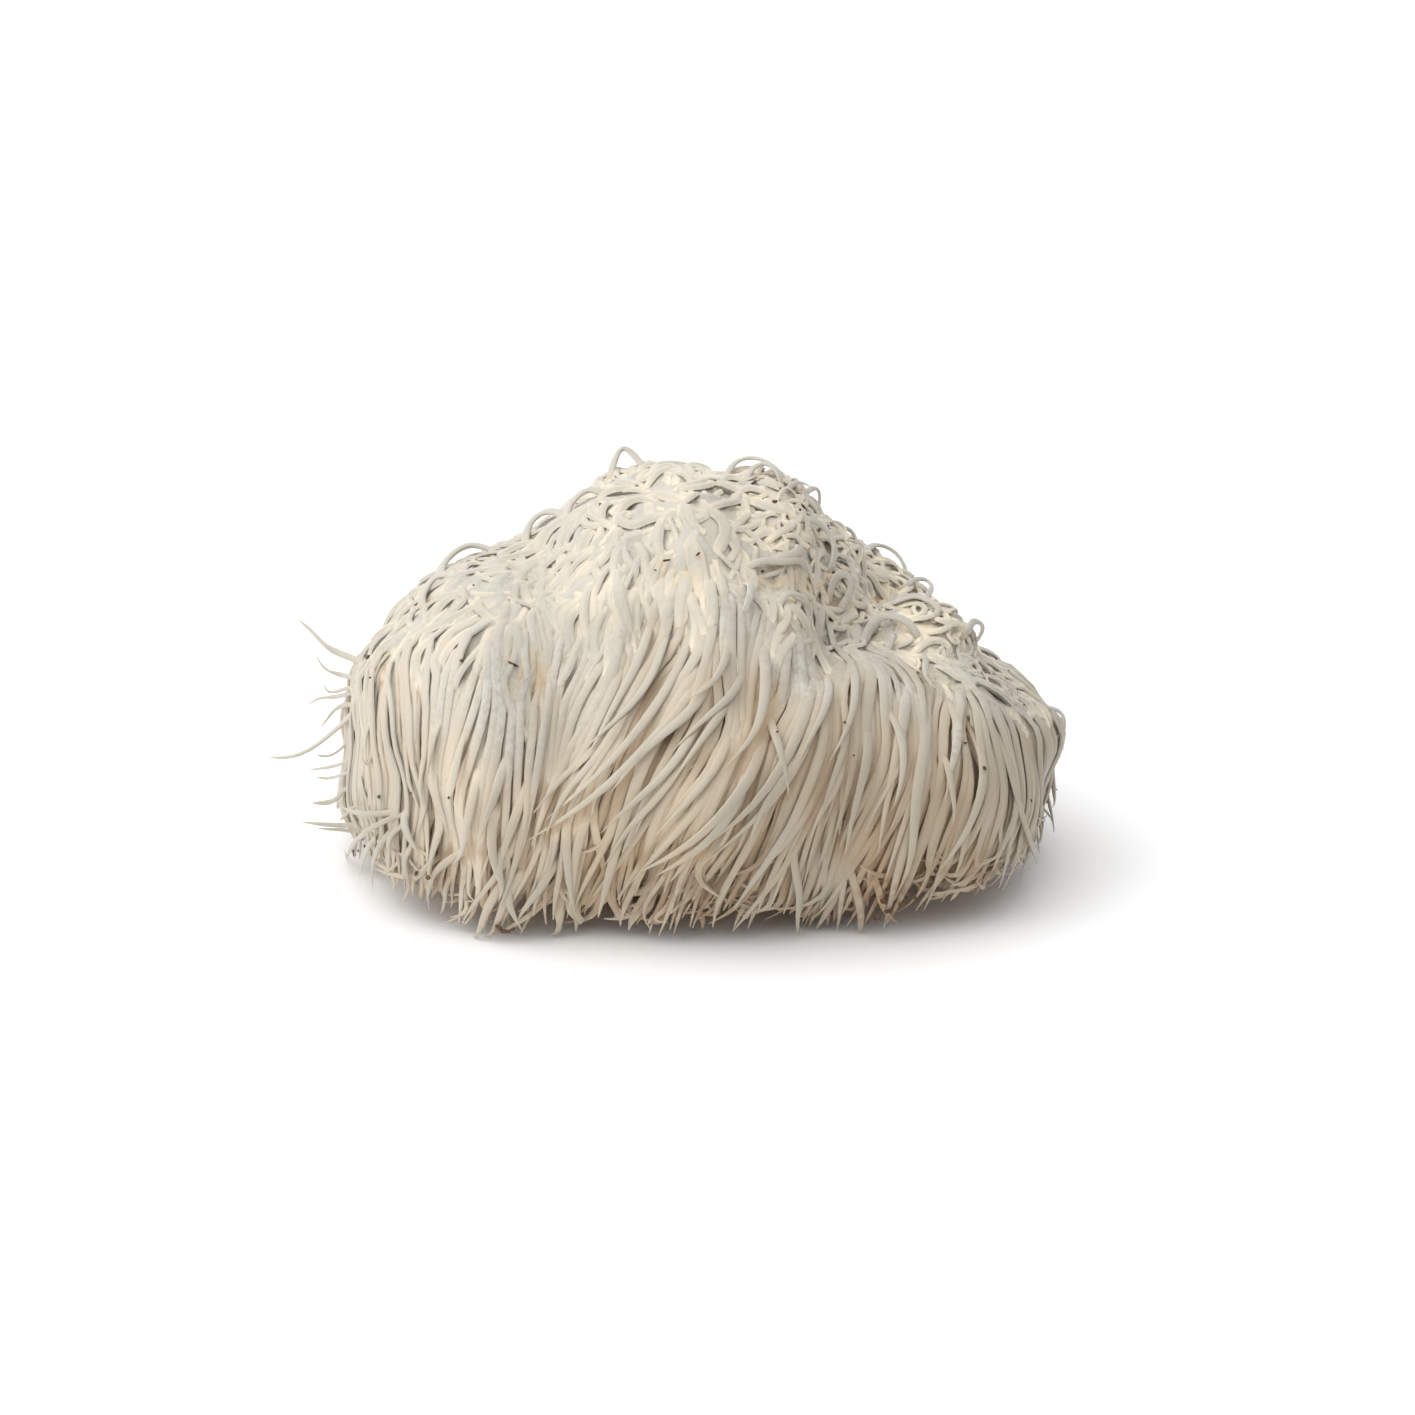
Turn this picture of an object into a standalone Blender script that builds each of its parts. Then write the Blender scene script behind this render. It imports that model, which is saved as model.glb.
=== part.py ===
"""A lion's mane mushroom: one fruiting body, as picked, resting on its flat cut.

The body is a mound of lobes that run into each other. Long spines hang from its sides in
locks, three tiers deep, and short spines curl in loops over its crown. A few stray spines
stand out on the left. It all grew as one piece, so every lock, loop and stray is fused to
the mound, and the whole mushroom is one closed solid.

Frame: metres, +Z up, +X to the right and +Y to the back of the mushroom as it is looked at
from the front. The origin is the middle of the cut, on the surface that it rests on.
"""

from dataclasses import dataclass

import bpy
import numpy as np

MM = 0.001

# Driving dimensions of the coat of spines, without the strays, in millimetres.
WIDTH = 143.0
DEPTH = 123.0
HEIGHT = 78.0

# The inner point that the coat is measured from, above the middle of the cut.
HEART = np.array([0.0, 0.0, 0.28 * HEIGHT])
LOBE_BLEND = 1.6  # how softly one lobe runs into the next
COAT_THICKNESS = 4.5  # how far the hanging locks stand out from the flesh under them
HEM = 0.93  # how far down the coat the flesh reaches before it turns in under the mushroom
# The underside, from the hem to the cut: shares of the hem's width, and shares of its height.
UNDERSIDE = ((0.91, 0.84), (0.76, 0.66), (0.67, 0.32), (0.65, 0.0))
CROWN_DEPTH = 2.6  # how far the flesh of the crown lies under its loops
LUMP_HEIGHT = 1.4  # how far the lumps of the crown stand up and sink in
LUMP_SPACING = 17.0

BODY_SEGMENTS = 48
BODY_RINGS = 16
SPINE_SIDES = 5
LOCK_STEPS = 5
LOOP_STEPS = 7
MERIDIAN_SAMPLES = 160
GOLDEN_ANGLE = np.radians(137.508)
FLESH_COLOUR = (0.80, 0.74, 0.62, 1.0)

CHANCE = np.random.default_rng(11)


@dataclass(frozen=True)
class Lobe:
    """An egg-shaped lobe. Its numbers are shares of half the width, half the depth and the height."""

    centre: tuple
    reach: tuple
    drop: float  # its reach below its centre, as a share of the height


LOBES = {
    "crown": Lobe((-0.042, 0.098, 0.437), (0.612, 0.715, 0.563), 0.77),
    "left": Lobe((-0.521, -0.065, 0.249), (0.497, 0.878, 0.537), 0.96),
    "right": Lobe((0.525, -0.114, 0.255), (0.465, 0.780, 0.333), 0.64),
    "right_shoulder": Lobe((0.587, -0.065, 0.512), (0.168, 0.26, 0.164), 0.26),
    "back": Lobe((-0.026, 0.39, 0.362), (0.794, 0.618, 0.458), 0.77),
    "front": Lobe((0.0, -0.325, 0.321), (0.671, 0.683, 0.385), 0.77),
}


@dataclass(frozen=True)
class Tier:
    """A ring of locks that hang from one level of the mound down to another."""

    count: int
    root: float  # how far down the coat the locks start: 0 at the crown, 1 at the ground
    tip: float
    radius: float


TIERS = (
    Tier(count=18, root=0.30, tip=0.64, radius=4.4),
    Tier(count=26, root=0.43, tip=0.80, radius=4.8),
    Tier(count=36, root=0.56, tip=0.955, radius=5.4),
)
LOCK_PROFILE = ((0.0, 0.35, 0.80, 1.0), (0.55, 1.0, 0.80, 0.06))  # thickness along a lock
LOCK_FLATNESS = 0.7
ROOT_DEPTH = 5.0  # how deep in the flesh a lock starts
FLICK = 1.0  # how far the free tips stand out
SWEEP_CENTRE = 0.65  # the share of a lock that stays at its own azimuth

# The two longest tufts reach down and out to the ground. Each has an azimuth and a half width.
FEET = ((235.0, 8.0), (294.0, 8.0))
FOOT_TIP = 0.985
FOOT_FLICK = 8.0

LOOP_COUNT = 40
LOOP_RADIUS = 1.5
LOOP_SIZE = 5.6  # the radius that a loop curls round
LOOP_TURN = 215.0
LOOP_DEPTH = 3.0  # how deep the middle of a loop lies
LOOP_REACH = 0.38  # the loops cover this share of the way down the coat

PEAK_FEET = ((-22.0, 2.0, 73.0), (-11.5, 3.0, 74.0))
PEAK_TOP = (-17.5, 2.0, 83.0)
SIDE_FEET = ((65.0, -6.0, 28.0), (66.0, -6.0, 16.0))
SIDE_TOP = (72.0, -7.0, 22.0)
PEAK_RADIUS = 1.2

# Stray spines on the left: where each leaves the coat, where it bends and its tip.
STRAYS = (
    ((-55.0, -8.0, 42.0), (-74.0, -9.0, 41.0), (-80.5, -9.0, 49.0)),
    ((-58.0, -2.0, 38.0), (-72.0, -4.0, 35.0), (-76.0, -6.0, 41.5)),
    ((-58.0, -12.0, 36.0), (-71.0, -12.0, 36.0), (-78.0, -12.0, 31.5)),
    ((-58.0, -6.0, 32.0), (-72.0, -7.0, 17.0), (-86.0, -8.0, 20.5)),
    ((-58.0, -13.0, 22.0), (-71.0, -12.0, 17.0), (-77.0, -11.0, 18.5)),
    ((-56.0, -9.0, 14.0), (-70.0, -9.0, 3.0), (-79.5, -9.0, 7.5)),
)
STRAY_RADIUS = 1.1
TIP_RADIUS = 0.3

SEAM_SHARE = 0.56  # the share of the triangles that is kept once the seams are thinned out


def clear_scene():
    """Removes whatever the scene holds."""
    for thing in list(bpy.data.objects):
        bpy.data.objects.remove(thing)


def egg_distance(lobe, directions):
    """Distance from the heart, along each direction, to the far side of one lobe."""
    half = np.array([WIDTH / 2, DEPTH / 2, HEIGHT])
    centre = np.array(lobe.centre) * half
    distance = np.zeros(len(directions))
    for upper in (True, False):
        reach = np.array(lobe.reach) * half
        if not upper:
            reach[2] = lobe.drop * HEIGHT
        start = (HEART - centre) / reach
        way = directions / reach
        a = (way * way).sum(axis=1)
        b = way @ start
        c = start @ start - 1
        inside = np.maximum(b * b - a * c, 0)
        found = (np.sqrt(inside) - b) / a
        above = HEART[2] + found * directions[:, 2] >= centre[2]
        valid = (b * b > a * c) & (above == upper)
        distance = np.where(valid, np.maximum(distance, found), distance)
    return distance


def coat_distance(directions):
    """Distance from the heart to the outer face of the coat: a soft maximum over the lobes."""
    each = np.array([egg_distance(lobe, directions) for lobe in LOBES.values()])
    most = each.max(axis=0)
    soft = np.log(np.exp((each - most) / LOBE_BLEND).sum(axis=0)) - 0.3
    return most + LOBE_BLEND * soft


def meridian(azimuth, shares):
    """Points down the coat at one azimuth, each at a share of the way from the crown to the ground."""
    polar = np.linspace(0, np.radians(150), MERIDIAN_SAMPLES)
    out = np.sin(polar)
    ways = np.stack([out * np.cos(azimuth), out * np.sin(azimuth), np.cos(polar)], axis=1)
    points = HEART + ways * coat_distance(ways)[:, None]
    last = np.argmax(points[:, 2] < 0)
    share = points[last - 1, 2] / (points[last - 1, 2] - points[last, 2])
    ground = points[last - 1] + share * (points[last] - points[last - 1])
    points = np.vstack([points[:last], ground])
    steps = np.linalg.norm(np.diff(points, axis=0), axis=1)
    along = np.concatenate([[0], np.cumsum(steps)])
    wanted = np.asarray(shares) * along[-1]
    return np.stack([np.interp(wanted, along, points[:, i]) for i in range(3)], axis=-1)


def unit(vectors):
    """The vectors, each made one long."""
    return vectors / np.linalg.norm(vectors, axis=-1, keepdims=True)


def outward(points):
    """Unit vectors that point away from the heart."""
    return unit(points - HEART)


def smooth_step(low, high, value):
    """Rises from 0 at low to 1 at high with no corner."""
    t = np.clip((value - low) / (high - low), 0, 1)
    return t * t * (3 - 2 * t)


def mesh_object(name, points, faces):
    """A new object in the scene, with the points given in millimetres."""
    mesh = bpy.data.meshes.new(name)
    mesh.from_pydata((np.asarray(points) * MM).tolist(), [], faces)
    made = bpy.data.objects.new(name, mesh)
    bpy.context.scene.collection.objects.link(made)
    return made


def make_flesh():
    """The mound under the coat: rings of points down its meridians, closed by the flat cut."""
    shares = np.linspace(0, HEM, BODY_RINGS + 1)[1:]
    rings = np.empty((BODY_RINGS, BODY_SEGMENTS, 3))
    for segment in range(BODY_SEGMENTS):
        rings[:, segment] = meridian(2 * np.pi * segment / BODY_SEGMENTS, shares)
    skirt = smooth_step(0.3, 0.5, shares)[:, None]
    wave = 2 * np.pi * rings / LUMP_SPACING
    bend = 0.8 * wave[..., 2] + 1.3 * np.sin(wave[..., 1])
    lumps = LUMP_HEIGHT * np.sin(wave[..., 0] + bend) * np.sin(wave[..., 1] + bend)
    sunk = COAT_THICKNESS * skirt + (CROWN_DEPTH + lumps) * (1 - skirt)
    rings -= outward(rings) * sunk[..., None]
    under = [rings[-1] * [width, width, height] for width, height in UNDERSIDE]
    rings = np.concatenate([rings, under])

    top = meridian(0.0, [0.0]) - [0.0, 0.0, CROWN_DEPTH]
    points = np.vstack([rings.reshape(-1, 3), top, [[0, 0, 0]]])
    crown, cut = len(points) - 2, len(points) - 1
    faces = []
    for segment in range(BODY_SEGMENTS):
        after = (segment + 1) % BODY_SEGMENTS
        faces.append((crown, segment, after))
        for ring in range(len(rings) - 1):
            upper, lower = ring * BODY_SEGMENTS, (ring + 1) * BODY_SEGMENTS
            faces.append((upper + segment, lower + segment, lower + after))
            faces.append((upper + segment, lower + after, upper + after))
        base = (len(rings) - 1) * BODY_SEGMENTS
        faces.append((base + segment, cut, base + after))
    return mesh_object("fruiting_body", points, faces)


def make_spine(name, path, radii, face, flatness=1.0):
    """A closed tube with a few flat sides along a path.

    The face is the way that the flat of the tube looks, as one vector or as one for each point of
    the path. At flatness 1 the section is round.
    """
    tangents = unit(np.gradient(path, axis=0))
    across = unit(np.cross(tangents, face))
    raised = np.cross(tangents, across)
    turn = 2 * np.pi * np.arange(SPINE_SIDES) / SPINE_SIDES
    section = (
        np.cos(turn)[None, :, None] * across[:, None]
        + flatness * np.sin(turn)[None, :, None] * raised[:, None]
    )
    points = path[:, None] + section * np.asarray(radii)[:, None, None]
    faces = [tuple(range(SPINE_SIDES))[::-1]]
    for step in range(len(path) - 1):
        low, high = step * SPINE_SIDES, (step + 1) * SPINE_SIDES
        for side in range(SPINE_SIDES):
            after = (side + 1) % SPINE_SIDES
            faces.append((low + side, low + after, high + after))
            faces.append((low + side, high + after, high + side))
    last = (len(path) - 1) * SPINE_SIDES
    faces.append(tuple(range(last, last + SPINE_SIDES)))
    return mesh_object(name, points.reshape(-1, 3), faces)


def sweep(azimuth):
    """How far a lock leans round the mound on its way down, in radians. Azimuth is 270 in front.

    The locks at the middle of the front lean the most, down to the left. Those on the left hang
    straight, and those on the right and at the back lean a little.
    """
    degrees = np.degrees(azimuth) % 360
    middle = np.exp(-(((degrees - 280) / 26) ** 2))
    straight = np.exp(-(((degrees - 215) / 30) ** 2))
    return np.radians(-8 - 22 * middle + 7 * straight)


def make_lock(name, azimuth, tier):
    """A lock of spines: rooted in the flesh, lying along the coat, and free at its tip."""
    t = np.linspace(0, 1, LOCK_STEPS + 1)
    root = tier.root + CHANCE.uniform(-0.035, 0.035)
    tip = tier.tip + CHANCE.uniform(-0.02, 0.012)
    lean = sweep(azimuth) * (tip - root) / 0.4
    foot = 0.0
    if tier is TIERS[-1]:
        end = np.degrees(azimuth + lean * (1 - SWEEP_CENTRE)) % 360
        foot = max(np.exp(-(((end - middle) / width) ** 2)) for middle, width in FEET)
    tip += (FOOT_TIP - tip) * foot
    shares = root + (tip - root) * t
    turns = azimuth + lean * (t - SWEEP_CENTRE)
    path = np.array([meridian(turn, share) for turn, share in zip(turns, shares)])
    radii = tier.radius * CHANCE.uniform(0.85, 1.1) * np.interp(t, *LOCK_PROFILE)
    sunk = LOCK_FLATNESS * radii + ROOT_DEPTH * (1 - t) ** 2 - FLICK * t**4
    path -= outward(path) * sunk[:, None]
    path[:, :2] *= (1 + FOOT_FLICK * foot * t**3 / np.linalg.norm(path[:, :2], axis=1))[:, None]
    path[:, 2] = np.maximum(path[:, 2], LOCK_FLATNESS * radii + 0.2)
    return make_spine(name, path, radii, outward(path), LOCK_FLATNESS)


def make_locks():
    """All tiers of locks round the mound, each tier turned half a lock from the last."""
    locks = []
    for level, tier in enumerate(TIERS):
        for number in range(tier.count):
            place = number + 0.5 * (level % 2) + CHANCE.uniform(-0.2, 0.2)
            azimuth = 2 * np.pi * place / tier.count
            locks.append(make_lock(f"lock_{level}_{number:02d}", azimuth, tier))
    return locks


def make_loops():
    """Curled spines over the crown, each an arch from one place on the coat to another."""
    loops = []
    turn = np.radians(90 + LOOP_TURN * np.linspace(-0.5, 0.5, LOOP_STEPS))
    for number in range(LOOP_COUNT):
        azimuth = number * GOLDEN_ANGLE
        middle = meridian(azimuth, LOOP_REACH * np.sqrt((number + 0.5) / LOOP_COUNT))
        up = outward(middle)
        heading = CHANCE.uniform(0, 2 * np.pi)
        along = unit(np.cross(up, [np.cos(heading), np.sin(heading), 0.2]))
        tilt = np.radians(CHANCE.uniform(30, 75))
        rise = np.sin(tilt) * up + np.cos(tilt) * np.cross(up, along)
        size = LOOP_SIZE * CHANCE.uniform(0.75, 1.2)
        path = middle - LOOP_DEPTH * up
        path = path + size * (np.outer(np.cos(turn), along) + np.outer(np.sin(turn), rise))
        radii = np.full(LOOP_STEPS, LOOP_RADIUS * CHANCE.uniform(0.8, 1.2))
        loops.append(make_spine(f"loop_{number:02d}", path, radii, np.cross(along, rise)))
    return loops


def make_bent_spine(name, start, bend, end, radii):
    """A spine along the quadratic curve that a start, a bend and an end give."""
    t = np.linspace(0, 1, len(radii))[:, None]
    start, bend, end = (np.array(place) for place in (start, bend, end))
    path = (1 - t) ** 2 * start + 2 * t * (1 - t) * bend + t**2 * end
    return make_spine(name, path, radii, np.cross(bend - start, end - start))


def make_strays():
    """The spines that stand clear of the coat: strays on the left, and loops on top and on the right."""
    strays = []
    radii = np.linspace(STRAY_RADIUS, TIP_RADIUS, LOCK_STEPS + 1)
    for number, places in enumerate(STRAYS):
        strays.append(make_bent_spine(f"stray_{number}", *places, radii))
    radii = np.full(LOOP_STEPS + 2, PEAK_RADIUS)
    for name, (start, end), top in (("peak", PEAK_FEET, PEAK_TOP), ("side_loop", SIDE_FEET, SIDE_TOP)):
        bend = 2 * np.array(top) - (np.array(start) + end) / 2
        strays.append(make_bent_spine(name, start, bend, end, radii))
    return strays


def fuse(body, spines):
    """Joins the spines to the body in one Boolean union, and thins the slivers along the seams."""
    group = bpy.data.collections.new("fused_spines")
    bpy.context.scene.collection.children.link(group)
    for spine in spines:
        bpy.context.scene.collection.objects.unlink(spine)
        group.objects.link(spine)
        spine.hide_render = True
        spine.display_type = "WIRE"
    union = body.modifiers.new("fused_spines", "BOOLEAN")
    union.operation = "UNION"
    union.operand_type = "COLLECTION"
    union.collection = group
    union.solver = "MANIFOLD"
    thinned = body.modifiers.new("thinned_seams", "DECIMATE")
    thinned.ratio = SEAM_SHARE
    thinned.use_collapse_triangulate = True


def dress(body):
    """The flesh's own material."""
    flesh = bpy.data.materials.new("flesh")
    flesh.use_nodes = True
    shader = flesh.node_tree.nodes["Principled BSDF"]
    shader.inputs["Base Color"].default_value = FLESH_COLOUR
    shader.inputs["Roughness"].default_value = 0.7
    shader.inputs["Metallic"].default_value = 0.0
    body.data.materials.append(flesh)


def main():
    """Builds the mushroom."""
    clear_scene()
    body = make_flesh()
    fuse(body, make_locks() + make_loops() + make_strays())
    dress(body)


main()
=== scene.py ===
"""The looks of a lion's mane mushroom, as picked, resting on its flat cut.

The mushroom is a mound of lobes under a coat of spines. All of it is drawn from one shape, the
coat: the face that the ends and backs of the spines make together. Flesh lies a few millimetres
under the coat, a tangle of fused spines covers the crown, and curtains of long spines hang down
the sides along a combed direction. Lengths in this file are millimetres until a mesh is made.
"""

from __future__ import annotations

import logging
from dataclasses import dataclass, field, replace
from enum import Enum

import bpy
import numpy as np
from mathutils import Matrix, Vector

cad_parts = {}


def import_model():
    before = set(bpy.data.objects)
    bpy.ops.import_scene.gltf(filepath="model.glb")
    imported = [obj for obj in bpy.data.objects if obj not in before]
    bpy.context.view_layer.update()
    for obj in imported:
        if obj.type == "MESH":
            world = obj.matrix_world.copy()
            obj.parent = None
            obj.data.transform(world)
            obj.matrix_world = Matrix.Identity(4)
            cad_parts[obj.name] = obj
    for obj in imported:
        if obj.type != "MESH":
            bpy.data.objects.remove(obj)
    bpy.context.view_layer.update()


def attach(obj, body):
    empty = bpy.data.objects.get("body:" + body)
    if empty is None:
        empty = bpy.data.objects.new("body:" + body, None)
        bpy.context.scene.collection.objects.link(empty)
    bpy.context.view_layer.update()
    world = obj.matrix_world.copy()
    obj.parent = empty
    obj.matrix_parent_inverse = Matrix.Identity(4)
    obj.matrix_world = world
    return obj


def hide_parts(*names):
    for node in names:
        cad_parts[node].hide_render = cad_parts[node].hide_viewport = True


MM = 0.001
LOG = logging.getLogger("lions_mane")
NODE = "fruiting_body"
UP = np.array([0.0, 0.0, 1.0])
DOWN = -UP

Array = np.ndarray
Socket = bpy.types.NodeSocket
Three = tuple[float, float, float]
Colour = Three
Place = Three
Pair = tuple[float, float]
Range = Pair
Dot = Pair
Curve = tuple[tuple[float, ...], tuple[float, ...]]
TracedFold = tuple[Array, float, float]


def unit(vectors: Array) -> Array:
    """The vectors, each divided by its length."""
    return vectors / np.maximum(np.linalg.norm(vectors, axis=-1, keepdims=True), 1e-9)


def smooth_step(low: float, high: float, value: Array) -> Array:
    """Rises from 0 at low to 1 at high as t squared times (3 - 2t)."""
    t = np.clip((value - low) / (high - low), 0, 1)
    return t * t * (3 - 2 * t)


def wrapped(rings: int, around: int) -> tuple[Array, Array]:
    """Faces that join rings of points, one point above the first ring and one below the last.

    Args:
        rings: How many rings there are. Their points come first, ring by ring.
        around: How many points each ring has.

    Returns:
        The quads between the rings and the triangles that close both ends, as point numbers.
    """
    ring, column = np.meshgrid(np.arange(rings - 1), np.arange(around), indexing="ij")
    after = (column + 1) % around
    upper, lower = ring * around, (ring + 1) * around
    quads = np.stack([upper + column, lower + column, lower + after, upper + after], axis=-1)
    column = np.arange(around)
    after = (column + 1) % around
    base, above = (rings - 1) * around, rings * around
    top = np.stack([np.full_like(column, above), column, after], axis=-1)
    foot = np.stack([base + column, np.full_like(column, above + 1), base + after], axis=-1)
    return quads.reshape(-1, 4), np.concatenate([top, foot])


def write_marks(mesh: bpy.types.Mesh, growth: Array, patina: Array) -> None:
    """Writes each point's marks into the two colour attributes, in place of any that are there."""
    for title, values in (("growth", growth), ("patina", patina)):
        if title in mesh.attributes:
            mesh.attributes.remove(mesh.attributes[title])
        layer = mesh.attributes.new(title, "FLOAT_COLOR", "POINT")
        layer.data.foreach_set("color", values.astype(np.float32).ravel())


@dataclass
class Waves:
    """Smooth noise: the mean of sine waves that cross the space in random directions."""

    wavelength: float
    seed: int
    count: int = 9
    stretch: Range = (0.7, 1.5)
    heads: Array = field(init=False)
    starts: Array = field(init=False)

    def __post_init__(self) -> None:
        """Draws the waves' directions, lengths and starts."""
        chance = np.random.default_rng(self.seed)
        lengths = self.wavelength * chance.uniform(*self.stretch, (self.count, 1))
        self.heads = unit(chance.normal(size=(self.count, 3))) * 2 * np.pi / lengths
        self.starts = chance.uniform(0, 2 * np.pi, self.count)

    def at(self, points: Array) -> Array:
        """The noise at each point: the sum of the sines there over the root of their count."""
        sines = np.sin(points @ self.heads.T + self.starts)
        return sines.sum(axis=-1) * np.sqrt(1.0 / self.count)


@dataclass(frozen=True)
class Lobe:
    """An egg-shaped lobe, in shares of half the width, half the depth and the height."""

    centre: Place
    reach: Place
    drop: float


@dataclass(frozen=True)
class Fold:
    """A ridge or a gully of the coat along a line, seen from the front in picture dots."""

    line: tuple[Dot, ...]
    height: float
    width: float


@dataclass
class Coat:
    """The face that the spines make together, as its distance from an inner point, the heart."""

    width: float = 143.0
    depth: float = 123.0
    height: float = 78.0
    heart_share: float = 0.28
    blend: float = 1.6
    blend_loss: float = 0.3
    lumps: float = 1.1
    lump_width: float = 24.0
    lobes: tuple[Lobe, ...] = (
        Lobe((-0.042, 0.098, 0.437), (0.612, 0.715, 0.563), 0.77),
        Lobe((-0.521, -0.065, 0.249), (0.497, 0.878, 0.537), 0.96),
        Lobe((0.525, -0.114, 0.255), (0.465, 0.780, 0.333), 0.64),
        Lobe((0.587, -0.065, 0.512), (0.168, 0.26, 0.164), 0.26),
        Lobe((-0.026, 0.39, 0.362), (0.794, 0.618, 0.458), 0.77),
        Lobe((0.0, -0.325, 0.321), (0.671, 0.683, 0.385), 0.77),
    )
    folds: tuple[TracedFold, ...] = ()
    azimuths: int = 361
    polars: int = 181
    table: Array = field(init=False, repr=False)
    heart: Array = field(init=False, repr=False)

    def __post_init__(self) -> None:
        """Works out the coat's distance from the heart once, for a grid of directions.

        The lobes' distances are blended as the logarithm of the sum of their exponentials. Waves
        of lumps come on top, and each fold adds a bell curve of the distance from its line.
        """
        self.heart = np.array([0.0, 0.0, self.heart_share * self.height])
        azimuth = np.linspace(0, 2 * np.pi, self.azimuths)[:, None]
        polar = np.linspace(0, np.pi, self.polars)[None]
        ways = self.ways(azimuth, polar)
        each = np.array([self.egg(lobe, ways) for lobe in self.lobes])
        most = each.max(axis=0)
        soft = np.log(np.exp((each - most) / self.blend).sum(axis=0)) - self.blend_loss
        reach = most + self.blend * soft
        points = self.heart + ways * reach[..., None]
        reach = reach + self.lumps * Waves(self.lump_width, seed=3).at(points)
        for line, height, width in self.folds:
            gap = np.linalg.norm(points[..., None, :] - line, axis=-1).min(axis=-1)
            reach = reach + height * np.exp(-((gap / width) ** 2))
        self.table = reach

    @staticmethod
    def ways(azimuth: Array, polar: Array) -> Array:
        """Unit vectors at an azimuth about the vertical and a polar angle from straight up."""
        parts = (np.sin(polar) * np.cos(azimuth), np.sin(polar) * np.sin(azimuth))
        return np.stack([*parts, np.cos(polar) * np.ones_like(azimuth)], axis=-1)

    def egg(self, lobe: Lobe, ways: Array) -> Array:
        """Distance from the heart along each way to the far side of one lobe.

        Args:
            lobe: The lobe, an ellipsoid whose lower half has a reach of its own.
            ways: Unit vectors.

        Returns:
            The larger root of the quadratic that a ray and the ellipsoid give, or 0 at a miss.
        """
        half = np.array([self.width / 2, self.depth / 2, self.height])
        centre = np.array(lobe.centre) * half
        distance = np.zeros(ways.shape[:-1])
        for upper in (True, False):
            reach = np.array(lobe.reach) * half
            if not upper:
                reach[2] = lobe.drop * self.height
            start, way = (self.heart - centre) / reach, ways / reach
            a, b, c = (way * way).sum(axis=-1), way @ start, start @ start - 1
            found = (np.sqrt(np.maximum(b * b - a * c, 0)) - b) / a
            above = self.heart[2] + found * ways[..., 2] >= centre[2]
            valid = (b * b > a * c) & (above == upper)
            distance = np.where(valid, np.maximum(distance, found), distance)
        return distance

    def cells(self, ways: Array) -> tuple[Array, Array]:
        """The column and row of a table of directions that each way falls on, with fractions."""
        turn = np.arctan2(ways[..., 1], ways[..., 0]) % (2 * np.pi)
        column = turn / (2 * np.pi) * (self.azimuths - 1)
        row = np.arccos(np.clip(ways[..., 2], -1, 1)) / np.pi * (self.polars - 1)
        return column, row

    def read(self, table: Array, ways: Array) -> Array:
        """A table's value along each way, on straight lines between the four nearest cells."""
        column, row = self.cells(ways)
        i = np.clip(column.astype(int), 0, self.azimuths - 2)
        j = np.clip(row.astype(int), 0, self.polars - 2)
        u, v = column - i, row - j
        near = table[i, j] * (1 - v) + table[i, j + 1] * v
        far = table[i + 1, j] * (1 - v) + table[i + 1, j + 1] * v
        return near * (1 - u) + far * u

    def reach(self, ways: Array) -> Array:
        """The coat's distance from the heart along each way."""
        return self.read(self.table, ways)

    def lift(self, points: Array) -> Array:
        """How far outside the coat each point is, measured away from the heart."""
        away = points - self.heart
        return np.linalg.norm(away, axis=-1) - self.reach(unit(away))

    def place(self, points: Array, lift: Array | float = 0.0) -> Array:
        """The points moved along their line from the heart until they have that lift."""
        ways = unit(points - self.heart)
        return self.heart + ways * (self.reach(ways) + lift)[..., None]

    def normals(self, points: Array, gap: float = 2.5) -> Array:
        """Unit vectors square to the coat: the slope of the lift, from points a gap apart."""
        slopes = [
            self.lift(points + step) - self.lift(points - step) for step in gap * np.eye(3)
        ]
        return unit(np.stack(slopes, axis=-1))


@dataclass(frozen=True)
class Sight:
    """The line of sight from the front: where the viewer is, and how the picture is framed."""

    elevation: float = 17.0
    distance: float = 786.0
    target: Place = (0.9, 0.0, 28.8)
    lens: float = 100.0
    sensor: float = 36.0
    dots: float = 1415.0
    search: float = 110.0
    stride: float = 0.5

    @property
    def axes(self) -> tuple[Array, Array, Array]:
        """The picture's right, its up and the way back to the viewer."""
        tilt = np.radians(self.elevation)
        sine, cosine = np.sin(tilt), np.cos(tilt)
        up, back = np.array([0, sine, cosine]), np.array([0, -cosine, sine])
        return np.array([1.0, 0, 0]), up, back

    @property
    def eye(self) -> Array:
        """Where the viewer is."""
        return np.array(self.target) + self.axes[2] * self.distance

    def onto(self, coat: Coat, dots: Array, free: bool = False) -> Array:
        """The places on the coat that are seen at these dots of the picture.

        Args:
            coat: The coat that is looked at.
            dots: Columns and rows of the picture, in the last axis.
            free: Whether a line of sight that misses the coat gives a place off it.

        Returns:
            The first place where each line of sight meets the coat. For a line that misses, it's
            where the line comes closest, or the place on the coat just under that.
        """
        right, up, back = self.axes
        across = (dots - self.dots / 2) / self.dots * self.sensor / self.lens
        ways = across[..., :1] * right - across[..., 1:] * up - back
        near, far = self.distance - self.search, self.distance + self.search
        along = np.arange(near, far, self.stride)
        points = self.eye + ways[..., None, :] * along[:, None]
        lift = coat.lift(points)
        hit = np.where((lift < 0).any(axis=-1), (lift < 0).argmax(axis=-1), lift.argmin(axis=-1))
        found = np.take_along_axis(points, hit[..., None, None], axis=-2)[..., 0, :]
        if free:
            least = lift.min(axis=-1)
            return coat.place(found, np.maximum(least, 0))
        return coat.place(found)


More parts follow.
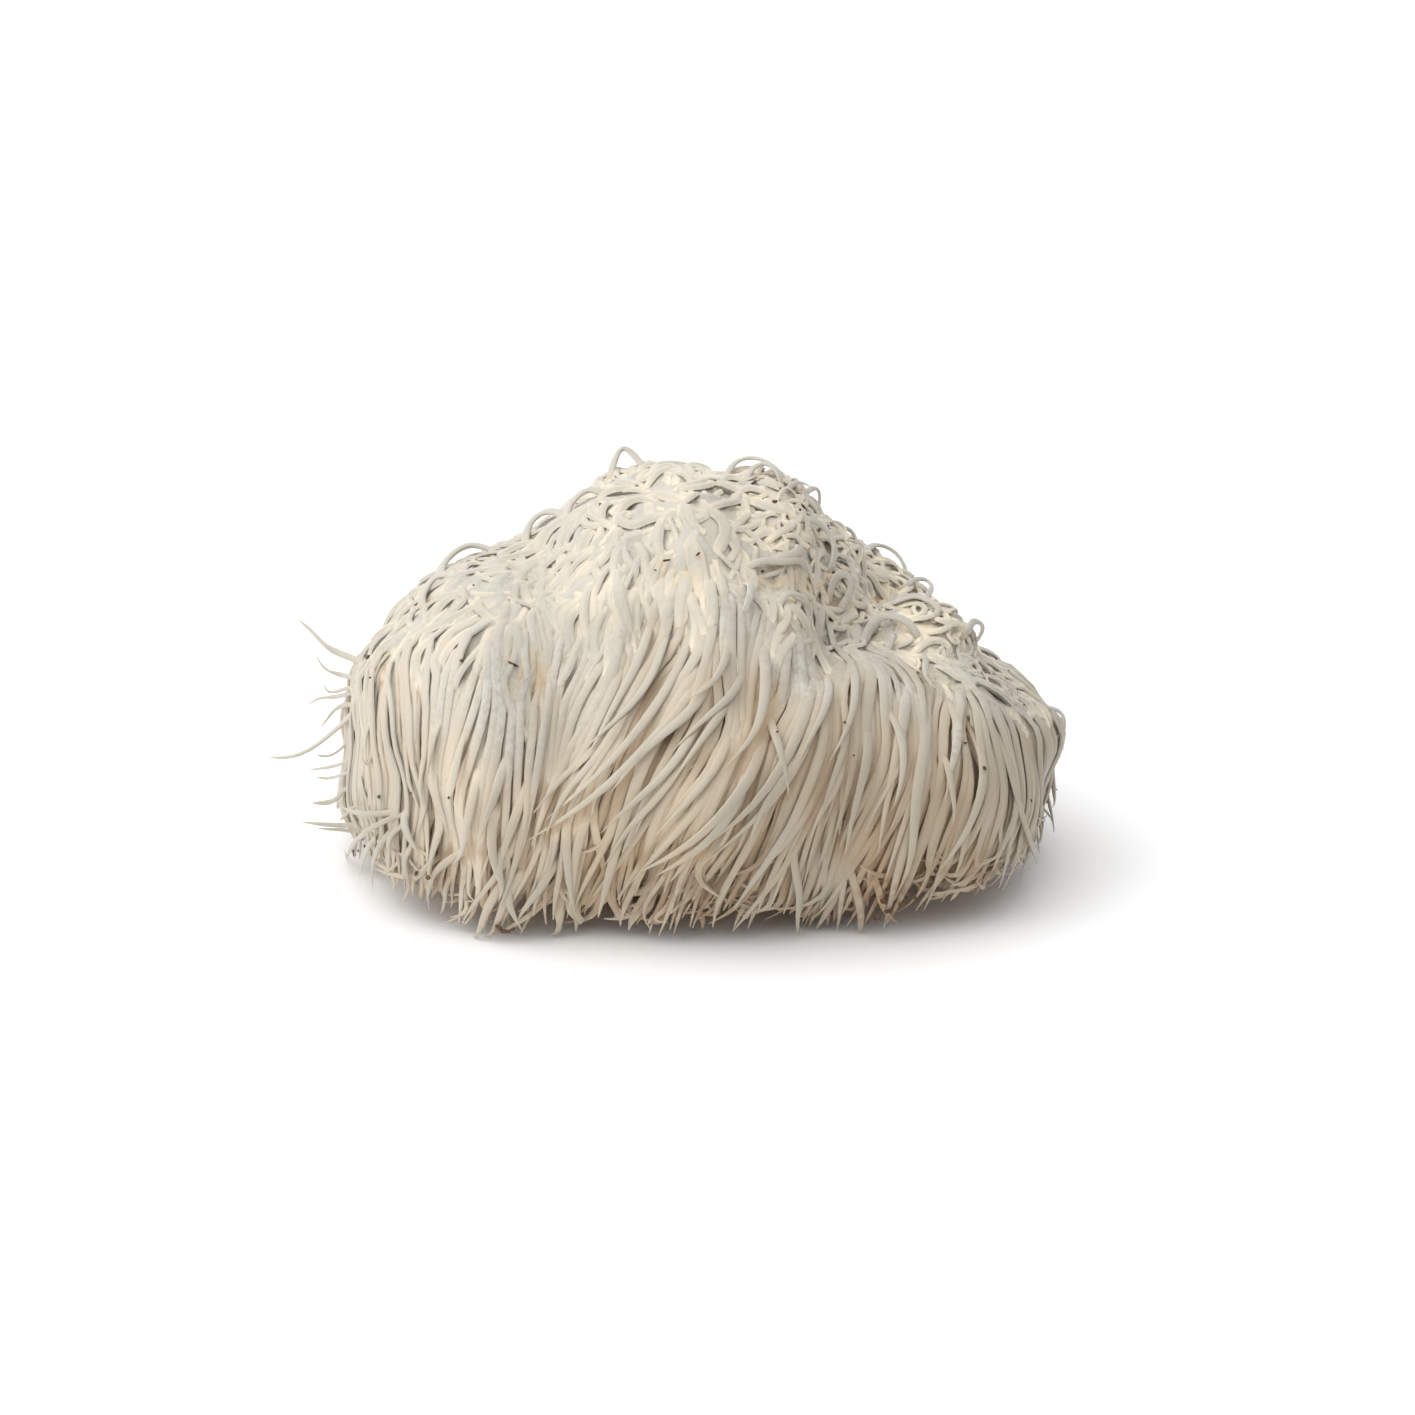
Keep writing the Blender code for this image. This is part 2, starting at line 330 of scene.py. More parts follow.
FOLDS = (
    Fold(((545, 625), (620, 605), (700, 592), (760, 600), (850, 600)), 2.4, 7.0),
    Fold(((885, 585), (850, 630), (810, 672), (765, 705)), -4.0, 6.5),
    Fold(((548, 650), (562, 710), (572, 770)), -2.0, 6.0),
    Fold(((365, 652), (420, 634), (480, 642), (545, 655)), 1.6, 7.0),
    Fold(((770, 588), (800, 590), (835, 592)), -2.4, 4.0),
    Fold(((690, 570), (705, 575)), -2.0, 4.0),
    Fold(((388, 782), (425, 830), (455, 872)), -3.4, 6.0),
    Fold(((890, 612), (920, 600), (955, 632)), 1.8, 6.0),
    Fold(((800, 640), (778, 730), (735, 800), (690, 850)), 2.6, 7.0),
    Fold(((715, 630), (680, 700), (630, 770), (570, 830)), 2.2, 6.5),
    Fold(((470, 650), (478, 760), (490, 880)), 1.8, 8.0),
    Fold(((1064, 790), (1058, 830), (1040, 870)), -3.6, 9.0),
    Fold(((345, 850), (380, 885), (430, 905)), -2.4, 8.0),
    Fold(((528, 668), (537, 684)), -3.0, 3.0),
)


def trace(
    sight: Sight, coat: Coat, folds: tuple[Fold, ...], gap: float = 8.0
) -> tuple[TracedFold, ...]:
    """The folds' lines as close points on the coat, each with its height and width.

    Args:
        sight: The line of sight that the folds were drawn along.
        coat: The coat, still without folds.
        folds: The folds.
        gap: About how many dots lie between two points.

    Returns:
        One entry for each fold: points a few dots apart along its line, its height, its width.
    """
    traced = []
    for fold in folds:
        line = np.array(fold.line, float)
        gaps = np.linalg.norm(np.diff(line, axis=0), axis=1)
        along = np.concatenate([[0], np.cumsum(gaps)])
        wanted = np.linspace(0, along[-1], int(along[-1] / gap) + 2)
        dots = np.stack([np.interp(wanted, along, line[:, i]) for i in (0, 1)], axis=-1)
        traced.append((sight.onto(coat, dots), fold.height, fold.width))
    return tuple(traced)


# How the spines are combed at the front: column and row of the picture, and how many degrees to
# the left of straight down they are seen to run there.
STROKES = np.array(
    [
        (360, 720, -4), (365, 800, -6), (400, 690, -8), (425, 780, -8), (450, 710, -3),
        (470, 820, -2), (500, 700, 2), (490, 860, 0), (500, 780, 5), (535, 700, 5), (535, 770, 9),
        (545, 840, 13), (520, 880, 8), (600, 640, 14), (620, 700, 20), (600, 780, 21), (580, 850, 13),
        (570, 900, 5), (680, 650, 14), (680, 720, 21), (660, 790, 25), (640, 860, 17), (740, 650, 10),
        (740, 720, 17), (720, 790, 24), (700, 860, 24), (790, 650, 5), (800, 700, 9), (770, 760, 16),
        (760, 830, 18), (740, 890, 12), (840, 680, 13), (830, 760, 15), (820, 840, 18),
        (800, 900, 18), (880, 680, 8), (870, 760, 13), (860, 840, 14), (850, 910, 2), (930, 700, 4),
        (920, 780, 11), (910, 860, 18), (970, 720, 0), (970, 800, 9), (950, 860, 24), (1010, 720, -6),
        (1020, 800, 8), (1000, 860, 26), (1045, 740, -8), (1045, 800, 12), (450, 590, 24),
        (500, 600, 28), (530, 615, 22), (420, 650, -10), (480, 655, -2), (540, 655, 10),
        (480, 560, 30), (560, 560, 30), (620, 520, 22), (650, 590, 20), (560, 610, 28),
        (700, 560, 15), (850, 560, -5), (900, 620, 15),
    ],
    float,
)


@dataclass
class Combing:
    """The direction that the spines lie in, anywhere on the coat."""

    coat: Coat
    sight: Sight
    strokes: Array
    spread: float = 8.5
    elsewhere: float = 7.0
    elsewhere_weight: float = 0.02
    breadth: float = 5.0
    most: float = 65.0
    least_facing: float = 0.3
    places: Array = field(init=False)
    leans: Array = field(init=False)

    def __post_init__(self) -> None:
        """Finds the strokes' places on the coat, and their lean from the way down the coat.

        A stroke seen at an angle is a line in the picture's plane. Moved along the line of sight
        until it lies in the coat, it gives the way that the spines run, and that has a share
        down the coat and a share aside.
        """
        self.places = self.sight.onto(self.coat, self.strokes[:, :2])
        faces = self.coat.normals(self.places, self.breadth)
        right, up, back = self.sight.axes
        turn = np.radians(self.strokes[:, 2])[:, None]
        seen = -np.sin(turn) * right - np.cos(turn) * up
        facing = np.maximum(faces @ back, self.least_facing)
        way = seen - ((seen * faces).sum(axis=-1) / facing)[:, None] * back
        down, aside = self.slopes(self.places, faces)
        lean = np.arctan2((way * aside).sum(axis=-1), (way * down).sum(axis=-1))
        self.leans = np.clip(np.degrees(lean), -self.most, self.most)

    def lean(self, points: Array) -> Array:
        """The lean at each point, in degrees: a mean of the strokes, those close by weighing most."""
        gaps = np.linalg.norm(points[..., None, :] - self.places, axis=-1)
        weights = np.exp(-0.5 * (gaps / self.spread) ** 2)
        total = weights.sum(axis=-1) + self.elsewhere_weight
        leans = (weights * self.leans).sum(axis=-1) + self.elsewhere_weight * self.elsewhere
        return leans / total

    @staticmethod
    def slopes(points: Array, faces: Array, outward: float = 0.02) -> tuple[Array, Array]:
        """The way down the coat at each point, a little outward, and the way to the left."""
        fall = DOWN + outward * unit(points * [1, 1, 0])
        down = unit(fall - (faces @ DOWN)[..., None] * faces)
        return down, np.cross(down, faces)

    def heading(self, points: Array, faces: Array, lean: Array) -> Array:
        """The way down the coat, turned by the lean towards the left of someone who faces it.

        Args:
            points: Places on the coat.
            faces: Unit vectors square to the coat there.
            lean: The turn in degrees.

        Returns:
            Unit vectors in the coat: the cosine of the lean down, its sine sideways.
        """
        down, aside = self.slopes(points, faces)
        turn = np.radians(lean)[..., None]
        return np.cos(turn) * down + np.sin(turn) * aside

    def grow(self, roots: Array, lengths: Array, lifts: Array, leans: Array) -> tuple[Array, Array]:
        """Spines grown step by step over the coat, all of them at once.

        Args:
            roots: Where each starts.
            lengths: How long each is.
            lifts: Each one's lift above the coat at every step.
            leans: What is added to the combed lean at every step, in degrees.

        Returns:
            Each spine's points, and the way that the coat faces at each of them.
        """
        steps = lifts.shape[1]
        stride = (lengths / (steps - 1))[:, None]
        point = self.coat.place(roots, lifts[:, 0])
        path, faces = [point], [self.coat.normals(point, self.breadth)]
        for step in range(1, steps):
            lean = self.lean(point) + leans[:, step]
            ahead = point + stride * self.heading(point, faces[-1], lean)
            point = self.coat.place(ahead, lifts[:, step])
            path.append(point)
            faces.append(self.coat.normals(point, self.breadth))
        return np.stack(path, axis=1), np.stack(faces, axis=1)


class Patina(Enum):
    """The four kinds of patch that the colours read, in the order of the attribute.

    A patch is the column and row of its middle in the picture, its radius and its strength.
    """

    # The felt patch at (800, 670) also lightens a gully that lies in shade, as painted light.
    FELT = (
        (445, 700, 6, 0.6), (500, 690, 8, 0.9), (515, 740, 6, 0.8), (560, 660, 7, 0.8),
        (590, 720, 4, 0.6), (640, 545, 9, 0.8), (700, 510, 8, 0.7), (560, 530, 9, 0.6),
        (470, 560, 8, 0.5), (740, 610, 7, 0.8), (850, 645, 9, 0.9), (905, 690, 5, 0.8),
        (960, 670, 9, 1.0), (1000, 690, 8, 0.7), (800, 670, 8, 0.9), (955, 745, 3, 0.8),
        (850, 560, 7, 0.7), (610, 640, 5, 0.6),
    )
    DUST = (
        (1012, 690, 6, 0.9), (1020, 712, 7, 0.7), (990, 668, 5, 0.7), (975, 650, 4, 0.5),
        (880, 615, 3, 0.4), (1040, 745, 6, 0.4),
    )
    # Real brown remains, except the patches at (690, 905) and (640, 910): brown painted as shade in
    # the gap under the front.
    STAIN = (
        (880, 898, 5, 0.9), (900, 905, 5, 0.8), (862, 910, 4, 0.6), (920, 890, 5, 0.5),
        (505, 932, 3, 1.0), (357, 855, 2, 1.0), (690, 905, 7, 0.5), (640, 910, 6, 0.3),
        (440, 880, 5, 0.3), (420, 875, 4, 0.3), (360, 812, 3, 0.4),
    )
    # Painted shade: yellow in pits and gullies, which shows only where a point lies deep.
    GOLD = (
        (532, 676, 4, 1.0), (541, 667, 3, 0.9), (800, 592, 4, 0.8), (830, 590, 3, 0.7),
        (770, 575, 3, 0.6), (690, 572, 3, 0.7), (885, 600, 3, 0.5), (765, 705, 4, 0.5),
        (668, 562, 3, 0.6), (700, 850, 8, 0.3), (600, 860, 8, 0.25), (880, 890, 4, 0.15),
    )


@dataclass
class Marks:
    """What the colours read at each point: where it is on its spine, how deep it lies, its patches."""

    coat: Coat
    sight: Sight
    brow: Brow
    cover: Cover
    deepest: float = 3.6
    # More depth on the hidden side of each spine, as painted shade there.
    underside: float = 0.3
    fray: float = 1.6
    fray_width: float = 5.0
    crown_tint: float = 0.15
    curtain_tint: float = 0.6
    cloud_tint: float = 0.16
    cloud_width: float = 19.0
    # Painted light and shade that differ from the mushroom's left to its right.
    painted_side_tint: float = 0.3
    painted_side_span: Range = (-45.0, 35.0)
    hanging_heights: Range = (-30.0, 8.0)
    first_seed: int = 40

    def patina(self, points: Array) -> Array:
        """How strongly each kind of patch shows at each point: the largest of its bell curves."""
        kinds = []
        for number, kind in enumerate(Patina):
            patches = np.array(kind.value, float)
            places = self.sight.onto(self.coat, patches[:, :2])
            radii, strengths = patches[:, 2], patches[:, 3]
            edge = self.fray * Waves(self.fray_width, self.first_seed + number).at(points)
            frayed = points + edge[..., None]
            gaps = np.linalg.norm(frayed[..., None, :] - places, axis=-1)
            kinds.append((strengths * np.exp(-((gaps / radii) ** 2))).max(axis=-1))
        return np.stack(kinds, axis=-1)

    def growth(
        self,
        points: Array,
        along: Array,
        tint: Array,
        under: Array | float = 0.0,
    ) -> Array:
        """Marks for each point: the share of the way along, the tint, the depth and the painted side
        shading.

        Args:
            points: Places on and under the coat.
            along: The share of the way from root to tip.
            tint: What each spine's own tint differs by from the one of its place.
            under: How far the point is round to the hidden side of its spine, from 0 to 1; painted
                shade deepens there.

        Returns:
            The marks. The tint rises from the crown to the curtains, and the painted side shading from
            left to right.
        """
        # Depth below the uppermost spines picks the painted shade and painted light of the crevices.
        depth = self.cover.depth(points) / self.deepest + self.underside * under
        depth = np.clip(depth, 0, 1)
        hanging = 1 - smooth_step(*self.hanging_heights, self.brow.above(points))
        place = self.crown_tint + self.curtain_tint * hanging
        place = place + self.cloud_tint * Waves(self.cloud_width, seed=61).at(points)
        # Painted side shading rises to the right: it picks the right-hand painted shading colours and
        # adds cream tint there.
        painted_side_shading = smooth_step(*self.painted_side_span, points[..., 0])
        place = place + self.painted_side_tint * painted_side_shading
        return np.stack([along, np.clip(place + tint, 0, 1), depth, painted_side_shading], axis=-1)


@dataclass
class Surface:
    """A mesh in whole arrays, before it becomes a piece."""

    points: Array
    quads: Array
    triangles: Array
    growth: Array
    patina: Array
    uv: Array | None = None
    normals: Array | None = None

    def piece(self, name: str) -> bpy.types.Object:
        """Puts the arrays into a mesh, in metres, and gives it an object at the origin.

        Args:
            name: The piece's name.

        Returns:
            The object, shaded smooth, with its marks as colour attributes.
        """
        mesh = bpy.data.meshes.new(name)
        corners = np.concatenate([self.quads.ravel(), self.triangles.ravel()])
        four, three = len(self.quads), len(self.triangles)
        starts = np.concatenate([np.arange(four) * 4, four * 4 + np.arange(three) * 3])
        mesh.vertices.add(len(self.points))
        mesh.vertices.foreach_set("co", (self.points * MM).astype(np.float32).ravel())
        mesh.loops.add(len(corners))
        mesh.loops.foreach_set("vertex_index", corners.astype(np.int32))
        mesh.polygons.add(len(starts))
        mesh.polygons.foreach_set("loop_start", starts.astype(np.int32))
        mesh.update(calc_edges=True)
        mesh.shade_smooth()
        write_marks(mesh, self.growth, self.patina)
        if self.uv is not None:
            layer = mesh.uv_layers.new(name="OFBake")
            layer.uv.foreach_set("vector", self.uv.astype(np.float32).ravel())
        if self.normals is not None:
            mesh.normals_split_custom_set_from_vertices(self.normals)
        made = bpy.data.objects.new(name, mesh)
        bpy.context.scene.collection.objects.link(made)
        return made


class Ends(Enum):
    """How a spine's thickness runs along it, as (share of the way, share of the thickness)."""

    HANGING = ((0.0, 0.1, 0.5, 0.75, 0.9, 1.0), (0.85, 1.0, 1.0, 0.88, 0.58, 0.12))
    TANGLED = ((0.0, 0.2, 0.8, 1.0), (0.8, 1.0, 1.0, 0.75))
    FREE = ((0.0, 0.15, 0.45, 0.7, 0.88, 1.0), (0.7, 1.0, 1.0, 0.7, 0.34, 0.04))
    LOOPED = ((0.0, 0.2, 0.8, 1.0), (1.0, 1.0, 0.9, 0.8))


@dataclass
class Spines:
    """Many spines at once: their points, thicknesses, facing and tints."""

    paths: Array
    radii: Array
    faces: Array
    tints: Array
    sides: int
    flatness: float = 0.78
    softness: float = 0.4
    point: float = 0.8
    strip: Pair = (0.9, 0.96)
    cap: float = 0.04

    def chosen(self, keep: Array) -> Spines:
        """Only the spines that keep names."""
        parts = self.paths[keep], self.radii[keep], self.faces[keep], self.tints[keep]
        return Spines(*parts, self.sides, self.flatness, self.softness)

    def surface(self, marks: Marks) -> Surface:
        """Carries a flattened round section along every path, and closes both ends to a point.

        Each ring is the path's point, plus the cosine of the angle round it times the way across
        the spine, plus its sine times the way out of the coat made flatter, all times the radius.

        Args:
            marks: What gives the colours their marks.

        Returns:
            All the spines as one surface, with a strip of its own for each in the UV map.
        """
        count, steps = self.paths.shape[:2]
        tangents = unit(np.gradient(self.paths, axis=1))
        across = unit(np.cross(tangents, self.faces))
        raised = np.cross(tangents, across)
        angle = 2 * np.pi * np.arange(self.sides) / self.sides
        section = (
            np.cos(angle)[:, None] * across[:, :, None]
            + self.flatness * np.sin(angle)[:, None] * raised[:, :, None]
        )
        rings = self.paths[:, :, None] + section * self.radii[:, :, None, None]
        ends = self.paths[:, [0, -1]] + tangents[:, [0, -1]] * [[[-1], [1]]] * (
            self.radii[:, [0, -1], None] * self.point
        )
        body = rings.reshape(count, steps * self.sides, 3)
        points = np.concatenate([body, ends], axis=1).reshape(-1, 3)

        stride = steps * self.sides + 2
        step, side = np.meshgrid(np.arange(steps - 1), np.arange(self.sides), indexing="ij")
        after = (side + 1) % self.sides
        low, high = step * self.sides, (step + 1) * self.sides
        quads = np.stack([low + side, low + after, high + after, high + side], axis=-1)
        ring = np.arange(self.sides)
        turned = (ring + 1) % self.sides
        last = (steps - 1) * self.sides
        root = np.stack([turned, ring, np.full_like(ring, stride - 2)], axis=-1)
        tip = np.stack([last + ring, last + turned, np.full_like(ring, stride - 1)], axis=-1)
        first = (np.arange(count) * stride)[:, None, None]
        quads = (quads.reshape(1, -1, 4) + first).reshape(-1, 4)
        triangles = (np.concatenate([root, tip])[None] + first).reshape(-1, 3)

        along = np.repeat(np.linspace(0, 1, steps), self.sides)
        along = np.tile(np.concatenate([along, [0, 1]]), count)
        # How far round to the hidden side of its spine each point lies, where painted shade deepens.
        under = np.tile(0.5 - 0.5 * np.sin(angle), steps)
        under = np.tile(np.concatenate([under, [0.5, 0.5]]), count)
        growth = marks.growth(points, along, np.repeat(self.tints, stride), under)
        uv = self.strips(count, steps)
        patina = marks.patina(points)
        normals = self.softened(angle, across, raised, tangents)
        return Surface(points, quads, triangles, growth, patina, uv, normals)

    def softened(self, angle: Array, across: Array, raised: Array, tangents: Array) -> Array:
        """Shading normals leant towards the way the coat faces, as light spreads in soft flesh.

        Args:
            angle: The angles round the section.
            across: The way across each spine at every step.
            raised: The way out of the coat, square to the spine.
            tangents: The way along each spine.

        Returns:
            One unit vector for each point: the oval section's own normal, leant by the softness.
        """
        count, steps = self.paths.shape[:2]
        own = unit(
            self.flatness * np.cos(angle)[:, None] * across[:, :, None]
            + np.sin(angle)[:, None] * raised[:, :, None]
        )
        leant = unit((1 - self.softness) * own + self.softness * self.faces[:, :, None])
        ends = unit(tangents[:, [0, -1]] * [[[-1], [1]]] + self.faces[:, [0, -1]])
        body = leant.reshape(count, steps * self.sides, 3)
        return np.concatenate([body, ends], axis=1).reshape(-1, 3)

    def strips(self, count: int, steps: int) -> Array:
        """A UV map with one upright cell for each spine, unrolled from its root to its tip."""
        columns = int(np.ceil(np.sqrt(count * 3.0)))
        rows = int(np.ceil(count / columns))
        cell = np.arange(count)
        corner = np.stack([cell % columns / columns, cell // columns / rows], axis=-1)
        size = np.array(self.strip) / [columns, rows]
        step, side = np.meshgrid(np.arange(steps - 1), np.arange(self.sides), indexing="ij")
        u = np.stack([side, side + 1, side + 1, side], axis=-1) / self.sides
        along = np.stack([step, step, step + 1, step + 1], axis=-1) / (steps - 1)
        v = self.cap + (1 - 2 * self.cap) * along
        quads = np.stack([u, v], axis=-1).reshape(1, -1, 2) * size + corner[:, None]
        side = np.arange(self.sides)
        right_left_middle = (side[:, None] + [1, 0, 0.5]) / self.sides
        root_v = np.broadcast_to([self.cap, self.cap, 0.0], right_left_middle.shape)
        root = np.stack([right_left_middle, root_v], axis=-1)
        tip = np.stack([right_left_middle[:, [1, 0, 2]], 1 - root_v], axis=-1)
        caps = np.concatenate([root, tip]).reshape(1, -1, 2) * size + corner[:, None]
        return np.concatenate([quads.reshape(-1, 2), caps.reshape(-1, 2)])


def paced(steps: int, power: float = 1.6) -> Array:
    """Shares of the way from 0 to 1 that lie closer together towards the tip."""
    return 1 - (1 - np.linspace(0, 1, steps)) ** power


def resampled(values: Array, ends: Array, shares: Array) -> Array:
    """Rows cut off at their ends and spread over new steps.

    Args:
        values: Rows of values or points, one row for each spine.
        ends: Where each row is cut, in steps of the row, with fractions.
        shares: Where each new value lies, in shares of the way to the cut.

    Returns:
        The new rows, read on straight lines between the old values.
    """
    wanted = ends[:, None] * shares
    low = np.clip(wanted.astype(int), 0, values.shape[1] - 2)
    share = wanted - low
    rows = np.arange(len(values))[:, None]
    if values.ndim == 3:
        share = share[..., None]
    return values[rows, low] * (1 - share) + values[rows, low + 1] * share


def scattered(
    coat: Coat, count: int, jitter: float, chance: np.random.Generator, lowest: float = -0.6
) -> Array:
    """Places spread evenly over the coat, on a golden spiral round the heart, then shaken.

    Args:
        coat: The coat.
        count: How many places there are.
        jitter: How far they are shaken.
        chance: The random numbers.
        lowest: The cosine of the polar angle at which the spiral ends.

    Returns:
        The places, from the crown down.
    """
    number = np.arange(count) + 0.5
    polar = np.arccos(1 - (1 - lowest) * number / count)
    azimuth = number * np.pi * (3 - np.sqrt(5))
    points = coat.place(coat.heart + coat.ways(azimuth, polar))
    return coat.place(points + chance.normal(size=points.shape) * jitter)


@dataclass
class Brow:
    """The line round the coat where the crown's tangle gives way to the curtains."""

    coat: Coat
    sight: Sight
    front: tuple[Dot, ...] = (
        (346, 705), (370, 655), (400, 640), (470, 640), (540, 638), (560, 622), (620, 605),
        (700, 592), (760, 598), (830, 605), (870, 638), (900, 655), (950, 675), (1010, 690),
        (1050, 722),
    )
    behind: tuple[Range, ...] = ((10, 34), (45, 42), (90, 47), (135, 46), (165, 46))
    azimuths: Array = field(init=False)
    heights: Array = field(init=False)

    def __post_init__(self) -> None:
        """Finds the front line's places on the coat and joins them to the back's."""
        places = self.sight.onto(self.coat, np.array(self.front, float))
        seen = np.stack([self.azimuth(places), places[:, 2]], axis=-1)
        line = np.concatenate([seen, np.array(self.behind, float)])
        line = line[line[:, 0].argsort()]
        self.azimuths, self.heights = line.T

    @staticmethod
    def azimuth(points: Array) -> Array:
        """Degrees round the vertical, from 0 at the right through 90 at the back."""
        return np.degrees(np.arctan2(points[..., 1], points[..., 0])) % 360

    def above(self, points: Array) -> Array:
        """How high each point is above the line."""
        line = np.interp(self.azimuth(points), self.azimuths, self.heights, period=360)
        return points[..., 2] - line


@dataclass
class Cover:
    """How high the uppermost spines lie, for every direction from the heart."""

    coat: Coat
    bare: float = -0.9
    spread: float = 1.3
    widest: int = 170
    samples: int = 48
    table: Array = field(init=False, repr=False)

    def __post_init__(self) -> None:
        """Starts with nothing laid on the flesh."""
        self.table = np.full((self.coat.azimuths, self.coat.polars), self.bare)

    def lay(self, spines: Spines) -> None:
        """Notes the tops of some spines: the lift of each point plus its thickness."""
        ends = np.full(len(spines.paths), spines.paths.shape[1] - 1.0)
        shares = np.linspace(0, 1, self.samples)
        points = resampled(spines.paths, ends, shares)
        tops = self.coat.lift(points) + spines.flatness * resampled(spines.radii, ends, shares)
        column, row = self.coat.cells(unit(points - self.coat.heart))
        column = np.rint(column).astype(int) % (self.coat.azimuths - 1)
        np.maximum.at(self.table, (column, np.rint(row).astype(int)), tops)

    def settle(self) -> None:
        """Gives each cell the mean, over its neighbours, of the highest top close to them.

        The neighbours of a cell reach as many degrees round the vertical as make the spread on
        the ground, so there are more of them near the crown's middle.
        """
        ring = self.table[:-1]
        angles = np.linspace(0, np.pi, self.coat.polars)
        for blend in (np.max, np.mean):
            rows = []
            for row, angle in enumerate(angles):
                width = int(min(self.widest, np.ceil(self.spread / max(np.sin(angle), 0.01))))
                turned = [np.roll(ring[:, row], shift) for shift in range(-width, width + 1)]
                rows.append(blend(turned, axis=0))
            ring = np.stack(rows, axis=1)
            padded = np.pad(ring, ((0, 0), (1, 1)), mode="edge")
            ring = blend([padded[:, :-2], padded[:, 1:-1], padded[:, 2:]], axis=0)
        self.table = np.concatenate([ring, ring[:1]])

    def depth(self, points: Array) -> Array:
        """How far below the uppermost spines near it each point lies."""
        ways = unit(points - self.coat.heart)
        return self.coat.read(self.table, ways) - self.coat.lift(points)


def shader_tree(name: str) -> tuple[bpy.types.Material, bpy.types.Node]:
    """A new material and the shader that it starts with."""
    material = bpy.data.materials.new(name)
    material.use_nodes = True
    return material, material.node_tree.nodes["Principled BSDF"]


@dataclass
class Painter:
    """Adds nodes to a material's tree, a step at a time."""

    tree: bpy.types.NodeTree

    def node(self, kind: str, **settings: object) -> bpy.types.Node:
        """A new node with some of its settings changed."""
        made = self.tree.nodes.new(kind)
        for title, value in settings.items():
            setattr(made, title, value)
        return made

    def link(self, source: Socket, target: Socket) -> None:
        """Joins two sockets."""
        self.tree.links.new(source, target)

    def marks(self, title: str) -> tuple[Socket, ...]:
        """The four numbers of one of the piece's colour attributes."""
        attribute = self.node("ShaderNodeAttribute", attribute_name=title)
        split = self.node("ShaderNodeSeparateColor")
        self.link(attribute.outputs["Color"], split.inputs["Color"])
        three = (split.outputs[part] for part in ("Red", "Green", "Blue"))
        return (*three, attribute.outputs["Alpha"])

    def noise(self, scale: float, detail: float = 3.0, rough: float = 0.6) -> Socket:
        """Noise on the object's own coordinates, with its scale in waves per metre."""
        where = self.node("ShaderNodeTexCoord")
        texture = self.node("ShaderNodeTexNoise")
        texture.inputs["Scale"].default_value = scale
        texture.inputs["Detail"].default_value = detail
        texture.inputs["Roughness"].default_value = rough
        self.link(where.outputs["Object"], texture.inputs["Vector"])
        return texture.outputs["Fac"]

    def ranged(self, value: Socket, low: float, high: float, to: Range = (0, 1)) -> Socket:
        """A value carried from one range to another along a smooth step."""
        node = self.node("ShaderNodeMapRange", interpolation_type="SMOOTHSTEP")
        for title, number in zip(("From Min", "From Max", "To Min", "To Max"), (low, high, *to)):
            node.inputs[title].default_value = number
        self.link(value, node.inputs["Value"])
        return node.outputs["Result"]

    def times(self, one: Socket, other: Socket) -> Socket:
        """The product of two values."""
        node = self.node("ShaderNodeMath", operation="MULTIPLY")
        self.link(one, node.inputs[0])
        self.link(other, node.inputs[1])
        return node.outputs["Value"]

    def bump(self, height: Socket, strength: float, reach: float) -> bpy.types.Node:
        """A bump of a strength, whose height reaches that many millimetres."""
        node = self.node("ShaderNodeBump")
        node.inputs["Strength"].default_value = strength
        node.inputs["Distance"].default_value = reach * MM
        self.link(height, node.inputs["Height"])
        return node

    def mixed(
        self,
        share: Socket,
        under: Socket | Colour,
        over: Socket | Colour,
    ) -> Socket:
        """A colour laid over another by a share."""
        node = self.node("ShaderNodeMix", data_type="RGBA")
        self.link(share, node.inputs["Factor"])
        sockets = [socket for socket in node.inputs if socket.type == "RGBA"]
        for socket, colour in zip(sockets, (under, over)):
            if isinstance(colour, tuple):
                socket.default_value = (*colour, 1.0)
            else:
                self.link(colour, socket)
        return next(socket for socket in node.outputs if socket.type == "RGBA")


